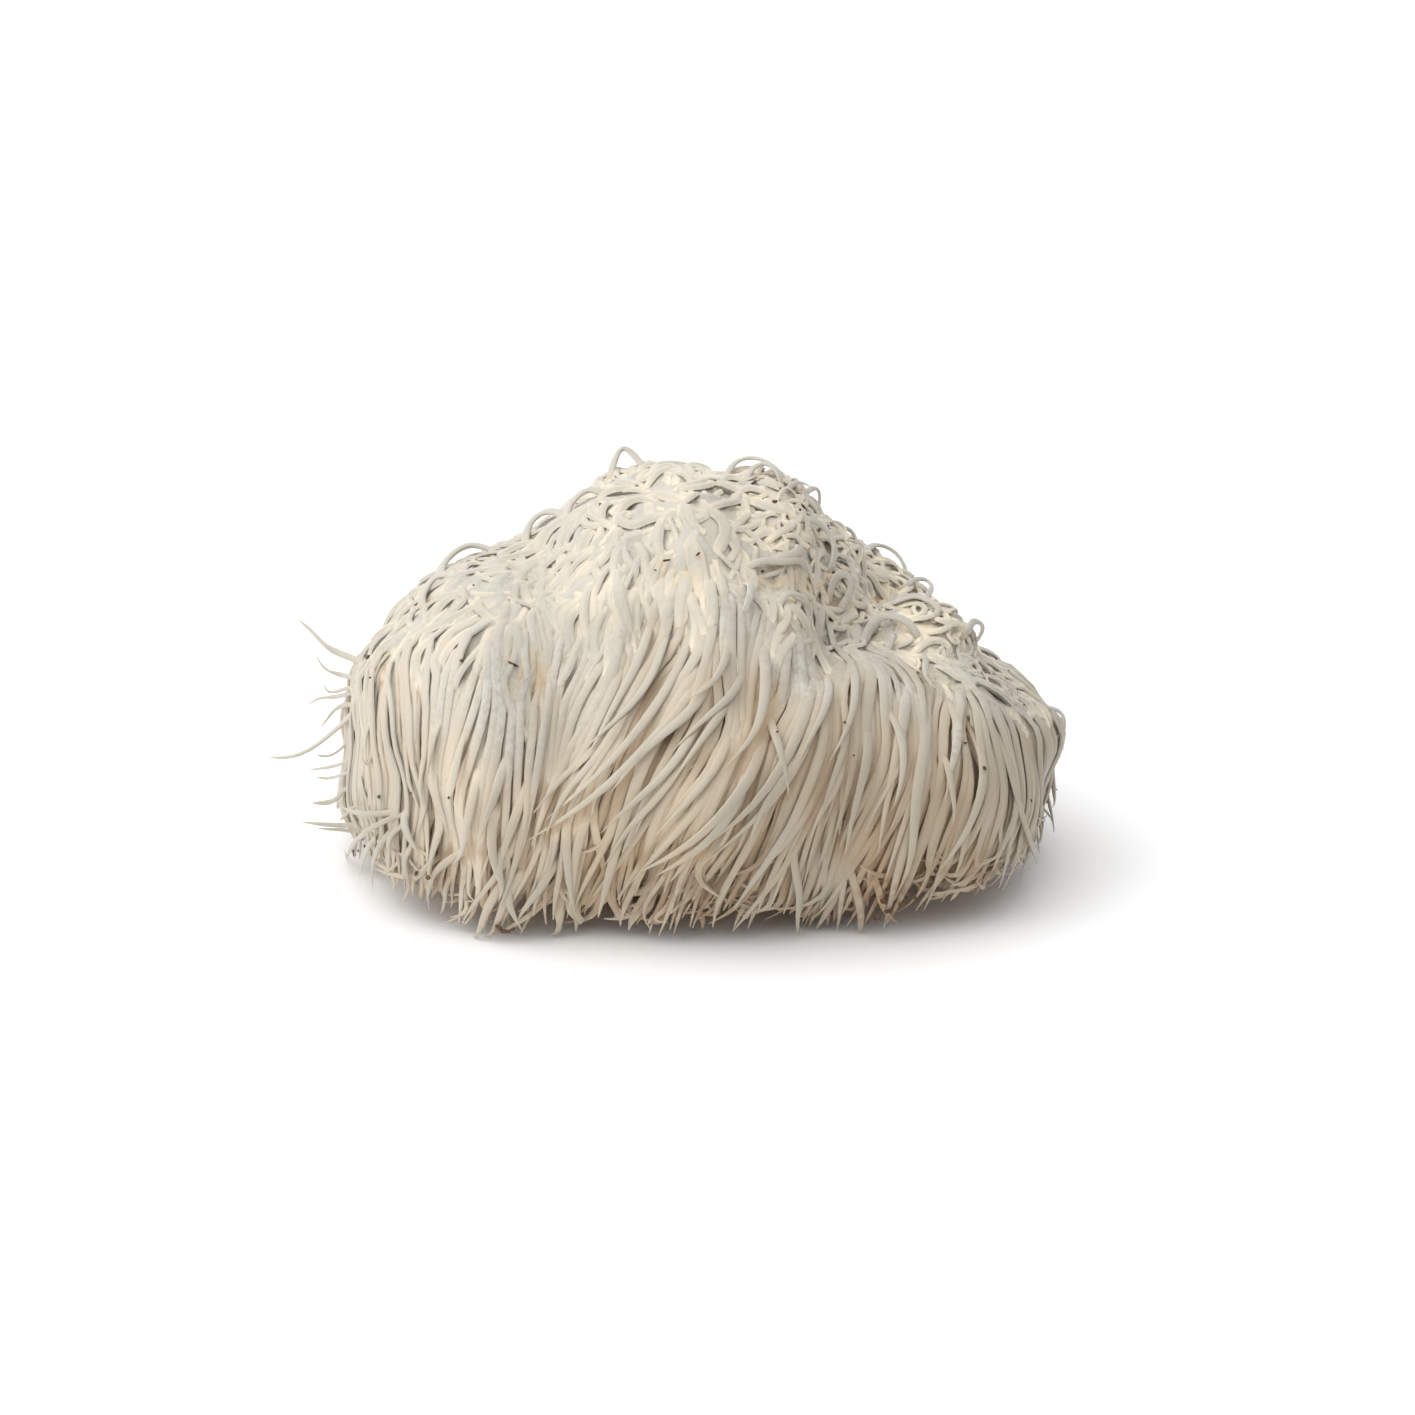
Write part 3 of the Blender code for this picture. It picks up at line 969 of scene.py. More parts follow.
@dataclass(frozen=True)
class FleshFinish:
    """Damp, soft mushroom flesh: ivory outside, white where it is felted, with tan painted shade and
    some painted light in its crevices.

    The painted shading of the sides of spines and of the crevices has two colours each, one for the
    mushroom's left and one for its right.
    """

    name: str
    ivory: Colour = (0.55, 0.52, 0.448)
    cream: Colour = (0.425, 0.383, 0.304)
    tip: Colour = (0.50, 0.44, 0.32)
    felt: Colour = (0.66, 0.632, 0.563)
    # Painted shade and painted light by depth below the uppermost spines: on the sides of spines, in
    # crevices and in the deepest gaps.
    painted_flank_shading: tuple[Colour, Colour] = ((0.575, 0.49, 0.372), (0.50, 0.416, 0.302))
    painted_crevice_shading: tuple[Colour, Colour] = ((0.70, 0.60, 0.455), (0.46, 0.365, 0.248))
    painted_deep_shading: Colour = (0.44, 0.31, 0.19)
    # Painted shade in pits.
    gold: Colour = (0.60, 0.40, 0.17)
    dust: Colour = (0.36, 0.31, 0.26)
    # Real stains, and brown painted as shade under the front.
    stain: Colour = (0.26, 0.13, 0.05)
    flank_depths: Range = (0.15, 0.5)
    hollow_depths: Range = (0.45, 0.95)
    cave_depths: Range = (0.85, 1.0)
    pit_depths: Range = (0.2, 0.6)
    cloudy: float = 0.2
    flanked: float = 0.75
    hollowed: float = 0.92
    caved: float = 0.7
    pitted: float = 0.9
    root_end: float = 0.25
    rooted: float = 0.5
    tip_start: float = 0.82
    tipped: float = 0.7
    roughness: Range = (0.38, 0.60)
    subsurface: float = 0.08
    subsurface_radius: Three = (1.0, 0.86, 0.72)
    subsurface_scale: float = 0.0008
    specular: float = 0.5
    sheen: float = 0.15
    sheen_roughness: float = 0.6
    cloud_scale: float = 90.0
    fine_scale: float = 600.0
    fuzz_scale: float = 1400.0
    grain_scale: float = 2600.0
    bump: float = 0.25
    fuzz_height: float = 0.4
    fine_height: float = 0.6
    fuzz: Range = (0.25, 1.6)

    def material(self) -> bpy.types.Material:
        """Builds the finish: layers of colour over one another, some of them painted shade and painted
        light, and two sizes of bump.

        Returns:
            The material, which reads the growth and patina attributes of its piece.
        """
        material, shader = shader_tree(self.name)
        paint = Painter(material.node_tree)
        along, tint, depth, painted_side_shading = paint.marks("growth")
        felt, dust, stain, gold = paint.marks("patina")
        broad, fine = paint.noise(self.cloud_scale), paint.noise(self.fine_scale)
        grain = paint.noise(self.grain_scale, 4.0, 0.7)
        # The painted shading of the sides of spines and of crevices, one colour for the left and one
        # for the right.
        flank_paint, crevice_paint = paint.mixed(painted_side_shading, *self.painted_flank_shading), paint.mixed(painted_side_shading, *self.painted_crevice_shading)
        layers = (
            (paint.ranged(broad, 0.45, 0.7, (0, self.cloudy)), self.cream),
            (paint.ranged(along, self.tip_start, 1.0, (0, self.tipped)), self.tip),
            (paint.ranged(along, 0.0, self.root_end, (self.rooted, 0)), self.felt),
            # Painted shade and painted light, stronger the deeper a point lies below the uppermost
            # spines.
            (paint.ranged(depth, *self.flank_depths, (0, self.flanked)), flank_paint),
            (paint.ranged(depth, *self.hollow_depths, (0, self.hollowed)), crevice_paint),
            (paint.ranged(depth, *self.cave_depths, (0, self.caved)), self.painted_deep_shading),
            (paint.times(felt, paint.ranged(fine, 0.3, 0.6)), self.felt),
            # Painted shade: yellow in pits, where the pit patches and depth meet.
            (paint.times(gold, paint.ranged(depth, *self.pit_depths, (0, self.pitted))), self.gold),
            (paint.times(dust, paint.ranged(grain, 0.35, 0.65)), self.dust),
            # Real stains, and brown painted as shade under the front and at the foot of the flesh.
            (paint.times(stain, paint.ranged(fine, 0.25, 0.6)), self.stain),
        )
        colour = paint.mixed(tint, self.ivory, self.cream)
        for share, over in layers:
            colour = paint.mixed(share, colour, over)
        paint.link(colour, shader.inputs["Base Color"])
        paint.link(paint.ranged(fine, 0.3, 0.7, self.roughness), shader.inputs["Roughness"])
        values = {
            "Subsurface Weight": self.subsurface,
            "Subsurface Radius": self.subsurface_radius,
            "Subsurface Scale": self.subsurface_scale,
            "Specular IOR Level": self.specular,
            "Sheen Weight": self.sheen,
            "Sheen Roughness": self.sheen_roughness,
        }
        for title, value in values.items():
            shader.inputs[title].default_value = value
        furred = paint.ranged(felt, 0.0, 0.8, self.fuzz)
        fuzz = paint.times(paint.noise(self.fuzz_scale, 4.0, 0.7), furred)
        far = paint.bump(fine, self.bump, self.fine_height)
        near = paint.bump(fuzz, 2 * self.bump, self.fuzz_height)
        paint.link(far.outputs["Normal"], near.inputs["Normal"])
        paint.link(near.outputs["Normal"], shader.inputs["Normal"])
        return material


def dress(piece: bpy.types.Object, material: bpy.types.Material) -> None:
    """Gives a piece its material, its body and its slot, and reports it."""
    piece.data.materials.append(material)
    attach(piece, "root")
    LOG.info("%s: %d faces", piece.name, len(piece.data.polygons))


@dataclass
class InnerFlesh:
    """The mound that everything grows from, from its crown to the flat cut."""

    coat: Coat
    marks: Marks
    inset: float = 3.2
    deeper: float = 1.2
    ridge: float = 0.5
    ridge_width: float = 3.5
    ridge_squash: Three = (1.0, 1.0, 0.15)
    thin_span: Range = (-25.0, 15.0)
    tint: float = 0.2
    tint_width: float = 9.0
    along: float = 0.4
    hem_height: float = 9.0
    cut_height: float = 0.05
    cut_depth: float = 0.25
    brown: float = 0.9
    brown_heights: Range = (3.0, 11.0)
    meridians: int = 180
    rings: int = 64
    underside: tuple[Range, ...] = (
        (0.99, 0.93), (0.95, 0.84), (0.87, 0.74), (0.78, 0.62), (0.71, 0.45), (0.675, 0.25),
        (0.66, 0.1), (0.652, 0.02), (0.645, 0.0), (0.55, 0.0), (0.40, 0.0), (0.22, 0.0), (0.08, 0.0),
    )
    # Darker painted shade for the crevices, where this flesh shows between the spines.
    finish: FleshFinish = FleshFinish(
        "inner_flesh",
        painted_crevice_shading=((0.62, 0.51, 0.37), (0.42, 0.325, 0.22)),
        painted_deep_shading=(0.42, 0.30, 0.19),
        bump=0.5,
    )

    def surface(self) -> Surface:
        """Rings of points at even polar angles down to the hem, then rings in along the underside.

        A point above the hem is the heart, plus its direction times the coat's distance less the
        inset. A ring of the underside is the hem's ring times a share of its width and height.

        Returns:
            The closed surface, with a point at the crown and one in the middle of the cut.
        """
        azimuth = 2 * np.pi * np.arange(self.meridians)[:, None] / self.meridians
        last = np.full((self.meridians, 1), np.pi / 2)
        for _ in range(8):
            reach = self.coat.reach(self.coat.ways(azimuth, last)) - self.inset
            last = np.arccos((self.hem_height - self.coat.heart[2]) / reach)
        share = np.linspace(0, 1, self.rings + 1)[None, 1:]
        ways = self.coat.ways(azimuth, last * share)
        ground = self.coat.heart + ways * self.coat.reach(ways)[..., None]
        deeper = self.deeper * smooth_step(*self.thin_span, ground[..., 0])
        reach = self.coat.reach(ways) - self.inset - deeper
        skirt = (self.coat.heart + ways * reach[..., None]).transpose(1, 0, 2)
        ridges = self.ridge * Waves(self.ridge_width, seed=8).at(skirt * self.ridge_squash)
        skirt = skirt + ridges[..., None] * unit(skirt - self.coat.heart)
        hem = skirt[-1]
        under = np.array([hem * [wide, wide, high] for wide, high in self.underside])
        rings = np.concatenate([skirt, under])
        rings[..., 2] = np.maximum(rings[..., 2], 0)
        top = self.coat.place(self.coat.heart + UP, -self.inset)
        points = np.concatenate([rings.reshape(-1, 3), [top, [0, 0, 0]]])
        quads, triangles = wrapped(len(rings), self.meridians)
        tint = self.tint * Waves(self.tint_width, seed=5).at(points)
        growth = self.marks.growth(points, np.full(len(points), self.along), tint)
        # The flat cut takes a set depth for its painted shading.
        cut = points[:, 2] < self.cut_height
        growth[cut, 2] = self.cut_depth
        patina = self.marks.patina(points)
        # Browner towards the floor: painted shade on the hem under the overhang, kept off the cut.
        brown = self.brown * (1 - smooth_step(*self.brown_heights, points[:, 2]))
        patina[:, 2] = np.where(cut, patina[:, 2], np.maximum(patina[:, 2], brown))
        return Surface(points, quads, triangles, growth, patina)

    def build(self) -> None:
        """Builds the flesh as a piece that stands for the mushroom's solid."""
        piece = self.surface().piece("inner_flesh")
        dress(piece, self.finish.material())
        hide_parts(NODE)


class Side(Enum):
    """The stretches of the mushroom's side, by azimuth in degrees. The front is at 270."""

    LEFT = (150, 232)
    FRONT = (232, 285)
    RIGHT = (285, 375)
    BACK = (15, 150)


@dataclass
class Draws:
    """Random numbers for spines that hang in locks."""

    chance: np.random.Generator
    lock: Array
    locks: int

    def shared(self, spread: float) -> Array:
        """A number drawn for each lock, given to each of its spines."""
        return (self.chance.normal(size=self.locks) * spread)[self.lock]

    def own(self, spread: float) -> Array:
        """A number drawn for each spine."""
        return self.chance.normal(size=len(self.lock)) * spread

    def about(self, middle: Array | float, spreads: Pair, own_first: bool = False) -> Array:
        """A middle value, plus a number drawn for each lock and one for each spine.

        Args:
            middle: The middle value.
            spreads: How far the locks' numbers spread, and how far the spines' do.
            own_first: Whether the spines' numbers are drawn before the locks'.

        Returns:
            The sum, for each spine.
        """
        draws = [(self.shared, spreads[0]), (self.own, spreads[1])]
        for draw, spread in reversed(draws) if own_first else draws:
            middle = middle + draw(spread)
        return middle

    def even(self, low: float = 0.0, high: float = 1.0) -> Array:
        """A number for each spine, anywhere from low to high."""
        return self.chance.uniform(low, high, len(self.lock))


@dataclass
class Curtains:
    """The long spines that hang down the sides in locks, layer over layer.

    Each pair of spreads is for a lock's number and for a spine's own.
    """

    coat: Coat
    combing: Combing
    brow: Brow
    count: int = 4600
    locks: int = 640
    root_jitters: Pair = (1.3, 2.2)
    highest_root: float = 6.0
    lowest_root: float = 14.0
    least_share: float = 0.75
    thinning_heights: Range = (-16.0, -7.0)
    rising_heights: Range = (-34.0, 0.0)
    steps: int = 20
    walk: int = 40
    sides: int = 7
    radius: float = 0.84
    girth_spreads: Pair = (0.08, 0.16)
    roughness: float = 0.06
    flatness: float = 0.60
    softness: float = 0.56
    tint_spreads: Pair = (0.13, 0.13)
    length: float = 62.0
    length_spreads: Pair = (5.0, 7.0)
    lengths: Range = (30.0, 80.0)
    shortest: float = 9.0
    root_depth: float = 3.2
    layers: float = 1.9
    layer_spreads: Pair = (0.45, 0.35)
    first_layer: float = -0.9
    top_layer: float = 0.9
    left_layers: float = 0.65
    layer_span: Range = (-25.0, 15.0)
    arch: float = 0.3
    arch_spread: float = 1.0
    highest_arch: float = 1.6
    arch_heights: Range = (-6.0, 0.0)
    arch_middle: float = 0.12
    arch_width: float = 0.09
    off_spreads: Pair = (0.6, 0.7)
    least_off: float = -0.3
    sway: float = 1.5
    sways: float = 1.1
    lean_spreads: Pair = (1.8, 1.2)
    curl: float = 2.0
    curl_spreads: Pair = (3.5, 4.0)
    mean_radius: float = 62.0
    unshared: float = 0.12
    checks: int = 36
    cell: Three = (1.45, 2.0, 1.0)
    cell_rows: int = 60
    cell_layers: int = 12
    deepest: float = 8.0
    crowded: float = 0.53
    fringe: Curve = (
        (20, 90, 160, 200, 210, 220, 225, 229, 234, 238, 242, 251, 258, 270, 279, 287, 298, 302,
         305, 314, 322, 330, 345),
        (6, 5, 6, 6, 7, 7, 5.5, 2.5, 0.8, 1.8, 4, 4, 4, 4.5, 4, 2, 0.8, 3, 4.2, 6, 7.5, 8, 7),
    )
    stop: float = 1.2
    stop_spreads: Pair = (1.7, 2.2)
    stops: Range = (-0.8, 9.0)
    early: float = 0.07
    early_heights: Range = (9.0, 34.0)
    pull: float = 0.13
    pulls: Range = (0.0, 0.6)
    longest_pull: float = 5.0
    bend_start: float = 0.7
    bend: float = 0.8
    bend_spreads: Pair = (1.1, 1.3)
    outward: float = 0.4
    outward_spread: float = 0.9
    least_outward: float = -0.3
    hook_start: float = 0.84
    hook_power: float = 1.8
    hooked: float = 0.6
    hook_leftward: float = 0.7
    hook: float = 1.0
    hook_spread: float = 3.2
    floor_gap: float = 0.5
    collar_rise: float = 0.62
    collar_share: float = 0.16
    collar_steps: int = 7
    collar_sides: int = 6
    collar_sunk: Pair = (0.8, 1.2)
    seed: int = 33
    spines: Spines = field(init=False)
    rise: Array = field(init=False)

    def __post_init__(self) -> None:
        """Grows every hanging spine down the coat, cuts it off at the fringe and turns its tip.

        The spines that don't have enough ground of their own are dropped, so that the others
        show one by one.
        """
        chance = np.random.default_rng(self.seed)
        roots, lock = self.rooted(chance)
        draws = Draws(chance, lock, self.locks)
        t, s = np.linspace(0, 1, self.walk), paced(self.steps)
        self.rise = smooth_step(*self.rising_heights, self.brow.above(roots))
        lengths = np.clip(draws.about(self.length, self.length_spreads), *self.lengths)
        lifts = self.lifts(roots, t, draws)
        paths, faces = self.combing.grow(roots, lengths, lifts, self.leans(t, draws))
        ends = self.ends(paths, draws)
        keep = (ends * lengths / (self.walk - 1) > self.shortest) & self.spaced(paths, lifts, ends)
        pull = np.clip(self.pull + draws.shared(self.pull), *self.pulls)
        paths = self.gathered(resampled(paths, ends, s), lock, pull, self.longest_pull)
        faces = unit(resampled(faces, ends, s))
        paths = self.turned(paths, faces, ends, draws)
        paths[..., 2] = np.maximum(paths[..., 2], self.floor_gap)
        share = np.interp(s, *Ends.HANGING.value)
        share = share * (1 + self.roughness * chance.normal(size=(len(roots), self.steps)))
        girths = np.exp(draws.about(0.0, self.girth_spreads, own_first=True))
        radii = self.radius * girths[:, None] * share
        tints = draws.about(0.0, self.tint_spreads, own_first=True)
        self.rise = self.rise[keep]
        every = Spines(paths, radii, faces, tints, self.sides, self.flatness, self.softness)
        self.spines = every.chosen(keep)

    def rooted(self, chance: np.random.Generator) -> tuple[Array, Array]:
        """The spines' roots, and the number of the lock whose middle is closest to each."""
        roots = scattered(self.coat, self.count * 2, self.root_jitters[0], chance)
        above = self.brow.above(roots)
        dense = smooth_step(*self.thinning_heights, above)
        share = self.least_share + (1 - self.least_share) * dense
        wanted = chance.uniform(0, 1, len(roots)) < share
        hanging = (above < self.highest_root) & (roots[:, 2] > self.lowest_root)
        roots = roots[wanted & hanging]
        centres = scattered(self.coat, self.locks, self.root_jitters[1], chance)
        return roots, np.linalg.norm(roots[:, None] - centres, axis=-1).argmin(axis=1)

    def lifts(self, roots: Array, t: Array, draws: Draws) -> Array:
        """Each spine's lift above the coat at every step.

        It's the spine's layer, which is higher for roots nearer the brow, less a depth that dies
        away with the tenth power of what is left of the way. Roots at the brow arch up in a bell
        curve, and the spine stands off with the third power of the way.

        Args:
            roots: Where the spines start.
            t: The share of the way at each step.
            draws: The random numbers.

        Returns:
            One row of lifts for each spine.
        """
        thick = self.left_layers + (1 - self.left_layers) * smooth_step(*self.layer_span, roots[:, 0])
        layer = draws.about(-self.layers * (1 - self.rise) * thick, self.layer_spreads)
        layer = np.minimum(layer + self.first_layer, self.top_layer)
        lifts = layer[:, None] - self.root_depth * (1 - t) ** 10
        arch = np.clip(draws.own(self.arch_spread) + self.arch, 0, self.highest_arch)
        arch = arch * smooth_step(*self.arch_heights, self.brow.above(roots))
        bell = np.exp(-(((t - self.arch_middle) / self.arch_width) ** 2))
        off = np.maximum(draws.about(0.0, self.off_spreads, own_first=True), self.least_off)
        return lifts + arch[:, None] * bell + off[:, None] * t**3

    def leans(self, t: Array, draws: Draws) -> Array:
        """What each spine adds to the combed lean at every step, in degrees.

        It's a slow sway, the lock's and the spine's own turn, and a curl that grows with the
        third power of the way.
        """
        sway = self.sway * np.sin(2 * np.pi * (t * self.sways + draws.even()[:, None]))
        curl = 2 * draws.about(self.curl, self.curl_spreads)
        return draws.about(0.0, self.lean_spreads)[:, None] + sway + curl[:, None] * t**3

    def ends(self, paths: Array, draws: Draws) -> Array:
        """The step at which each spine reaches the fringe, or for a few some height above it."""
        fringe = np.interp(Brow.azimuth(paths[:, -1]), *self.fringe, period=360)
        stop = fringe + np.clip(draws.about(self.stop, self.stop_spreads), *self.stops)
        early = draws.even() < self.early * self.rise
        stop = np.where(early, draws.even(*self.early_heights), stop)
        low = paths[..., 2] < stop[:, None]
        return np.where(low.any(axis=1), low.argmax(axis=1), self.walk - 1).astype(float)

    def turned(self, paths: Array, faces: Array, ends: Array, draws: Draws) -> Array:
        """The spines with their last stretch bent aside and outward, and many tips hooked up.

        Args:
            paths: Points of each spine.
            faces: The way that the coat faces at each of them.
            ends: The step at which each was cut off.
            draws: The random numbers.

        Returns:
            The paths, moved by each bend's reach times a step that rises towards the tip.
        """
        s = paced(self.steps)
        side = unit(np.cross(DOWN, faces))
        bent = smooth_step(self.bend_start, 1.0, s)[:, None]
        reach = draws.about(self.bend, self.bend_spreads, own_first=True)
        outward = np.maximum(draws.own(self.outward_spread) + self.outward, self.least_outward)
        paths = paths + bent * (side * reach[:, None, None] + faces * outward[:, None, None])
        hook = np.clip((s - self.hook_start) / (1 - self.hook_start), 0, 1) ** self.hook_power
        curled = (draws.even() < self.hooked) * (ends < self.walk - 1)
        reach = curled * (self.hook + np.abs(draws.own(self.hook_spread)))
        reach = reach * np.where(draws.even() < self.hook_leftward, 1, -1)
        upward = curled * (self.hook + np.abs(draws.own(self.hook_spread)))
        return paths + hook[:, None] * (side * reach[:, None, None] - DOWN * upward[:, None, None])

    def spaced(self, paths: Array, lifts: Array, ends: Array) -> Array:
        """Which spines have enough ground of their own among the others of their layer.

        The ground is cut into cells about a spine wide and a layer thick. From the brow down,
        each spine is kept and takes its cells unless too many of them are taken already. The
        first stretch at the root isn't counted.

        Args:
            paths: Points of each spine.
            lifts: The lift of each of these points.
            ends: Where each spine is cut off, in steps.

        Returns:
            True for each spine that is kept.
        """
        width, height, thickness = self.cell
        shares = np.linspace(self.unshared, 1, self.checks)
        points = resampled(paths, ends, shares)
        turn = np.arctan2(points[..., 1], points[..., 0]) + np.pi
        column = (turn * self.mean_radius / width).astype(int)
        row = np.clip(points[..., 2] / height, 0, self.cell_rows - 1).astype(int)
        above = (resampled(lifts, ends, shares) + self.deepest) / thickness
        layer = np.clip(above, 0, self.cell_layers - 1).astype(int)
        cells = (column * self.cell_rows + row) * self.cell_layers + layer
        taken = np.zeros(cells.max() + 1, bool)
        keep = np.zeros(len(paths), bool)
        for number, mine in enumerate(cells):
            keep[number] = taken[mine].mean() < self.crowded
            taken[mine] |= keep[number]
        return keep

    @staticmethod
    def gathered(paths: Array, lock: Array, pull: Array, longest: float) -> Array:
        """Spines drawn sideways to their lock's mean path, more and more towards the tips.

        Args:
            paths: Points of each spine.
            lock: The number of each spine's lock.
            pull: The share of the sideways gap that closes at the tip.
            longest: The most of that gap that counts.

        Returns:
            The paths, each moved by the pull times the way along times the sideways gap.
        """
        total = np.zeros((lock.max() + 1, *paths.shape[1:]))
        np.add.at(total, lock, paths)
        mean = total / np.maximum(np.bincount(lock), 1)[:, None, None]
        gap = mean[lock] - paths
        tangents = unit(np.gradient(paths, axis=1))
        gap = gap - (gap * tangents).sum(axis=-1, keepdims=True) * tangents
        wide = np.linalg.norm(gap, axis=-1)
        gap = gap * np.minimum(1, longest / np.maximum(wide, 1e-6))[..., None]
        t = paced(paths.shape[1])
        return paths + gap * pull[:, None, None] * (t**1.5)[:, None]

    def collars(self) -> Spines:
        """The rooted parts of the uppermost spines, sunk ever deeper, for the crown to fuse to."""
        upper = self.spines.chosen(self.rise > self.collar_rise)
        shares = np.linspace(0, 1, self.collar_steps)
        ends = np.full(len(upper.paths), self.collar_share * (self.steps - 1))
        paths = resampled(upper.paths, ends, shares)
        faces = unit(resampled(upper.faces, ends, shares))
        radii = resampled(upper.radii, ends, shares)
        sunk = self.collar_sunk[0] + self.collar_sunk[1] * shares[:, None] ** 2
        return Spines(paths - faces * sunk, radii, faces, upper.tints, self.collar_sides)

    def build(self, marks: Marks, material: bpy.types.Material) -> None:
        """Builds one piece for each side, by where the spines are rooted."""
        azimuth = Brow.azimuth(self.spines.paths[:, 0])
        for side in Side:
            start, stop = side.value
            keep = (azimuth - start) % 360 < stop - start
            name = f"curtain_{side.name.lower()}"
            dress(self.spines.chosen(keep).surface(marks).piece(name), material)


@dataclass(frozen=True)
class Wisp:
    """One spine that stands out, drawn along dots of the picture from its root to its tip.

    The dots are numbers in turn: the column and the row of the first, then those of the next.
    """

    dots: tuple[float, ...]
    radius: float
    lift: float
    ends: Ends


def drawn(*rows: tuple, ends: Ends = Ends.FREE) -> tuple[Wisp, ...]:
    """Wisps from rows of dots, radius and lift, with ends of their own if a row names them."""
    return tuple(Wisp(*row[:3], *(row[3:] or (ends,))) for row in rows)


COMBED = drawn(
    ((700, 640, 694, 703, 668, 723, 628, 771, 586, 806, 534, 837), 1.45, 2.2),
    ((690, 610, 690, 640, 663, 700, 614, 763, 551, 817), 1.45, 1.8),
    ((735, 625, 722, 670, 708, 690, 690, 700), 1.1, 1.6),
    ((668, 610, 657, 671, 634, 709, 604, 732, 586, 751), 1.2, 1.6),
    ((650, 600, 640, 665, 612, 715, 588, 762), 1.25, 1.2),
    ((720, 650, 694, 714, 657, 737, 614, 791), 1.35, 2.0),
    ((712, 670, 700, 720, 671, 771, 635, 800, 603, 831), 1.3, 1.9),
    ((705, 700, 685, 760, 657, 800, 628, 826, 609, 860), 1.2, 1.4),
    ((752, 640, 738, 690, 720, 706, 700, 723, 674, 750), 1.15, 1.7),
    ((745, 680, 714, 723, 694, 750, 673, 781), 1.15, 1.7),
    ((745, 690, 720, 760, 698, 792, 680, 806, 656, 834), 1.3, 1.8),
    ((775, 690, 755, 770, 720, 815, 700, 835, 665, 857, 638, 868), 1.45, 2.4),
    ((760, 730, 742, 790, 715, 835, 690, 852, 657, 871), 1.4, 2.2),
    ((740, 720, 715, 790, 690, 815, 671, 838, 631, 881), 1.25, 1.3),
    ((760, 615, 763, 640, 764, 672, 761, 708, 750, 740, 725, 765), 1.5, 3.0),
    ((823, 652, 812, 690, 797, 730, 770, 785, 729, 829, 680, 853), 1.5, 2.6),
    ((835, 655, 818, 700, 803, 745, 783, 790, 745, 826, 700, 862), 1.45, 2.2),
    ((768, 700, 769, 722, 780, 760, 786, 795), 1.15, 1.9),
    ((812, 720, 800, 755, 774, 786, 752, 820, 747, 847), 1.3, 2.0),
    ((831, 660, 826, 695, 814, 726, 802, 742, 794, 764), 1.15, 1.8),
    ((853, 645, 851, 675, 849, 714, 838, 740, 825, 761), 1.2, 1.8),
    ((845, 730, 834, 783, 815, 812, 806, 838), 1.15, 1.7),
    ((870, 700, 863, 760, 850, 805, 840, 852), 1.4, 1.7),
    ((888, 690, 891, 711, 897, 751, 893, 785, 886, 806), 1.2, 2.0),
    ((934, 690, 931, 709, 914, 760, 903, 811, 909, 849, 905, 872, 886, 893), 1.7, 2.4),
    ((945, 740, 943, 777, 948, 800, 946, 824), 1.0, 1.6),
    ((918, 665, 905, 700, 893, 745, 880, 800, 872, 850), 1.6, 1.5),
    ((958, 690, 956, 730, 945, 770, 940, 800), 1.35, 1.2),
    ((1000, 700, 1005, 750, 1012, 800, 1022, 835, 1030, 862), 1.1, 1.4),
    ((985, 720, 984, 765, 972, 810, 950, 850, 930, 872), 1.3, 1.3),
    ((800, 830, 792, 870, 800, 890, 793, 915, 797, 936), 1.05, 1.5),
    ((850, 850, 853, 885, 857, 915, 853, 938), 1.15, 1.6),
    ((878, 870, 876, 895, 880, 908, 892, 918), 1.0, 1.8),
    ((575, 760, 568, 810, 571, 860, 574, 895, 580, 912), 1.4, 1.5),
    ((600, 770, 585, 820, 575, 870, 578, 903, 570, 914), 1.3, 1.1),
    ((530, 760, 520, 810, 507, 850, 500, 880), 1.3, 1.0),
    ((495, 790, 497, 850, 506, 880, 513, 893), 1.25, 1.4),
    ((505, 740, 500, 790, 485, 838), 1.25, 1.2),
    ((470, 745, 476, 790, 468, 850, 458, 862), 1.3, 1.2),
    ((440, 700, 438, 745, 433, 783), 1.0, 1.4),
    ((460, 720, 462, 770, 455, 805), 0.95, 1.4),
    ((372, 700, 370, 740, 374, 767), 0.9, 1.2),
    ((520, 860, 498, 890, 489, 915, 479, 943), 1.2, 1.6),
    ((530, 850, 508, 900, 500, 925, 492, 937), 1.15, 1.5),
    ((512, 860, 512, 890, 518, 910, 527, 926), 1.1, 1.7),
    ((505, 830, 505, 870, 512, 886, 505, 896), 1.0, 2.0),
    ((560, 850, 545, 885, 528, 905, 520, 920), 1.1, 1.4),
    ((926, 640, 929, 654, 917, 668, 917, 683, 931, 692), 0.9, 1.8),
)

TUFT = drawn(
    ((408, 806, 398, 812, 380, 813, 352, 804), 0.8, 2.4),
    ((412, 812, 398, 816, 385, 824, 373, 830), 0.72, 2.6),
    ((405, 816, 396, 835, 399, 852, 398, 870), 0.85, 2.2),
    ((398, 812, 388, 840, 383, 865, 382, 886), 0.9, 2.2),
    ((388, 818, 378, 840, 374, 858, 370, 873), 0.8, 2.4),
    ((412, 830, 410, 860, 418, 882, 409, 900), 0.85, 2.0),
    ((400, 800, 404, 815, 418, 842, 424, 852), 1.2, 1.2),
    ((378, 822, 365, 838, 360, 850, 356, 856), 0.72, 2.4),
    ((440, 850, 430, 868, 422, 876, 424, 866), 0.8, 2.0),
    ((462, 850, 445, 866, 438, 880, 440, 888), 1.0, 1.6),
    ((432, 860, 437, 880, 434, 897), 0.7, 1.8),
    ((448, 870, 452, 895, 449, 909), 0.7, 1.8),
    ((460, 875, 468, 895, 466, 912), 0.7, 1.8),
)

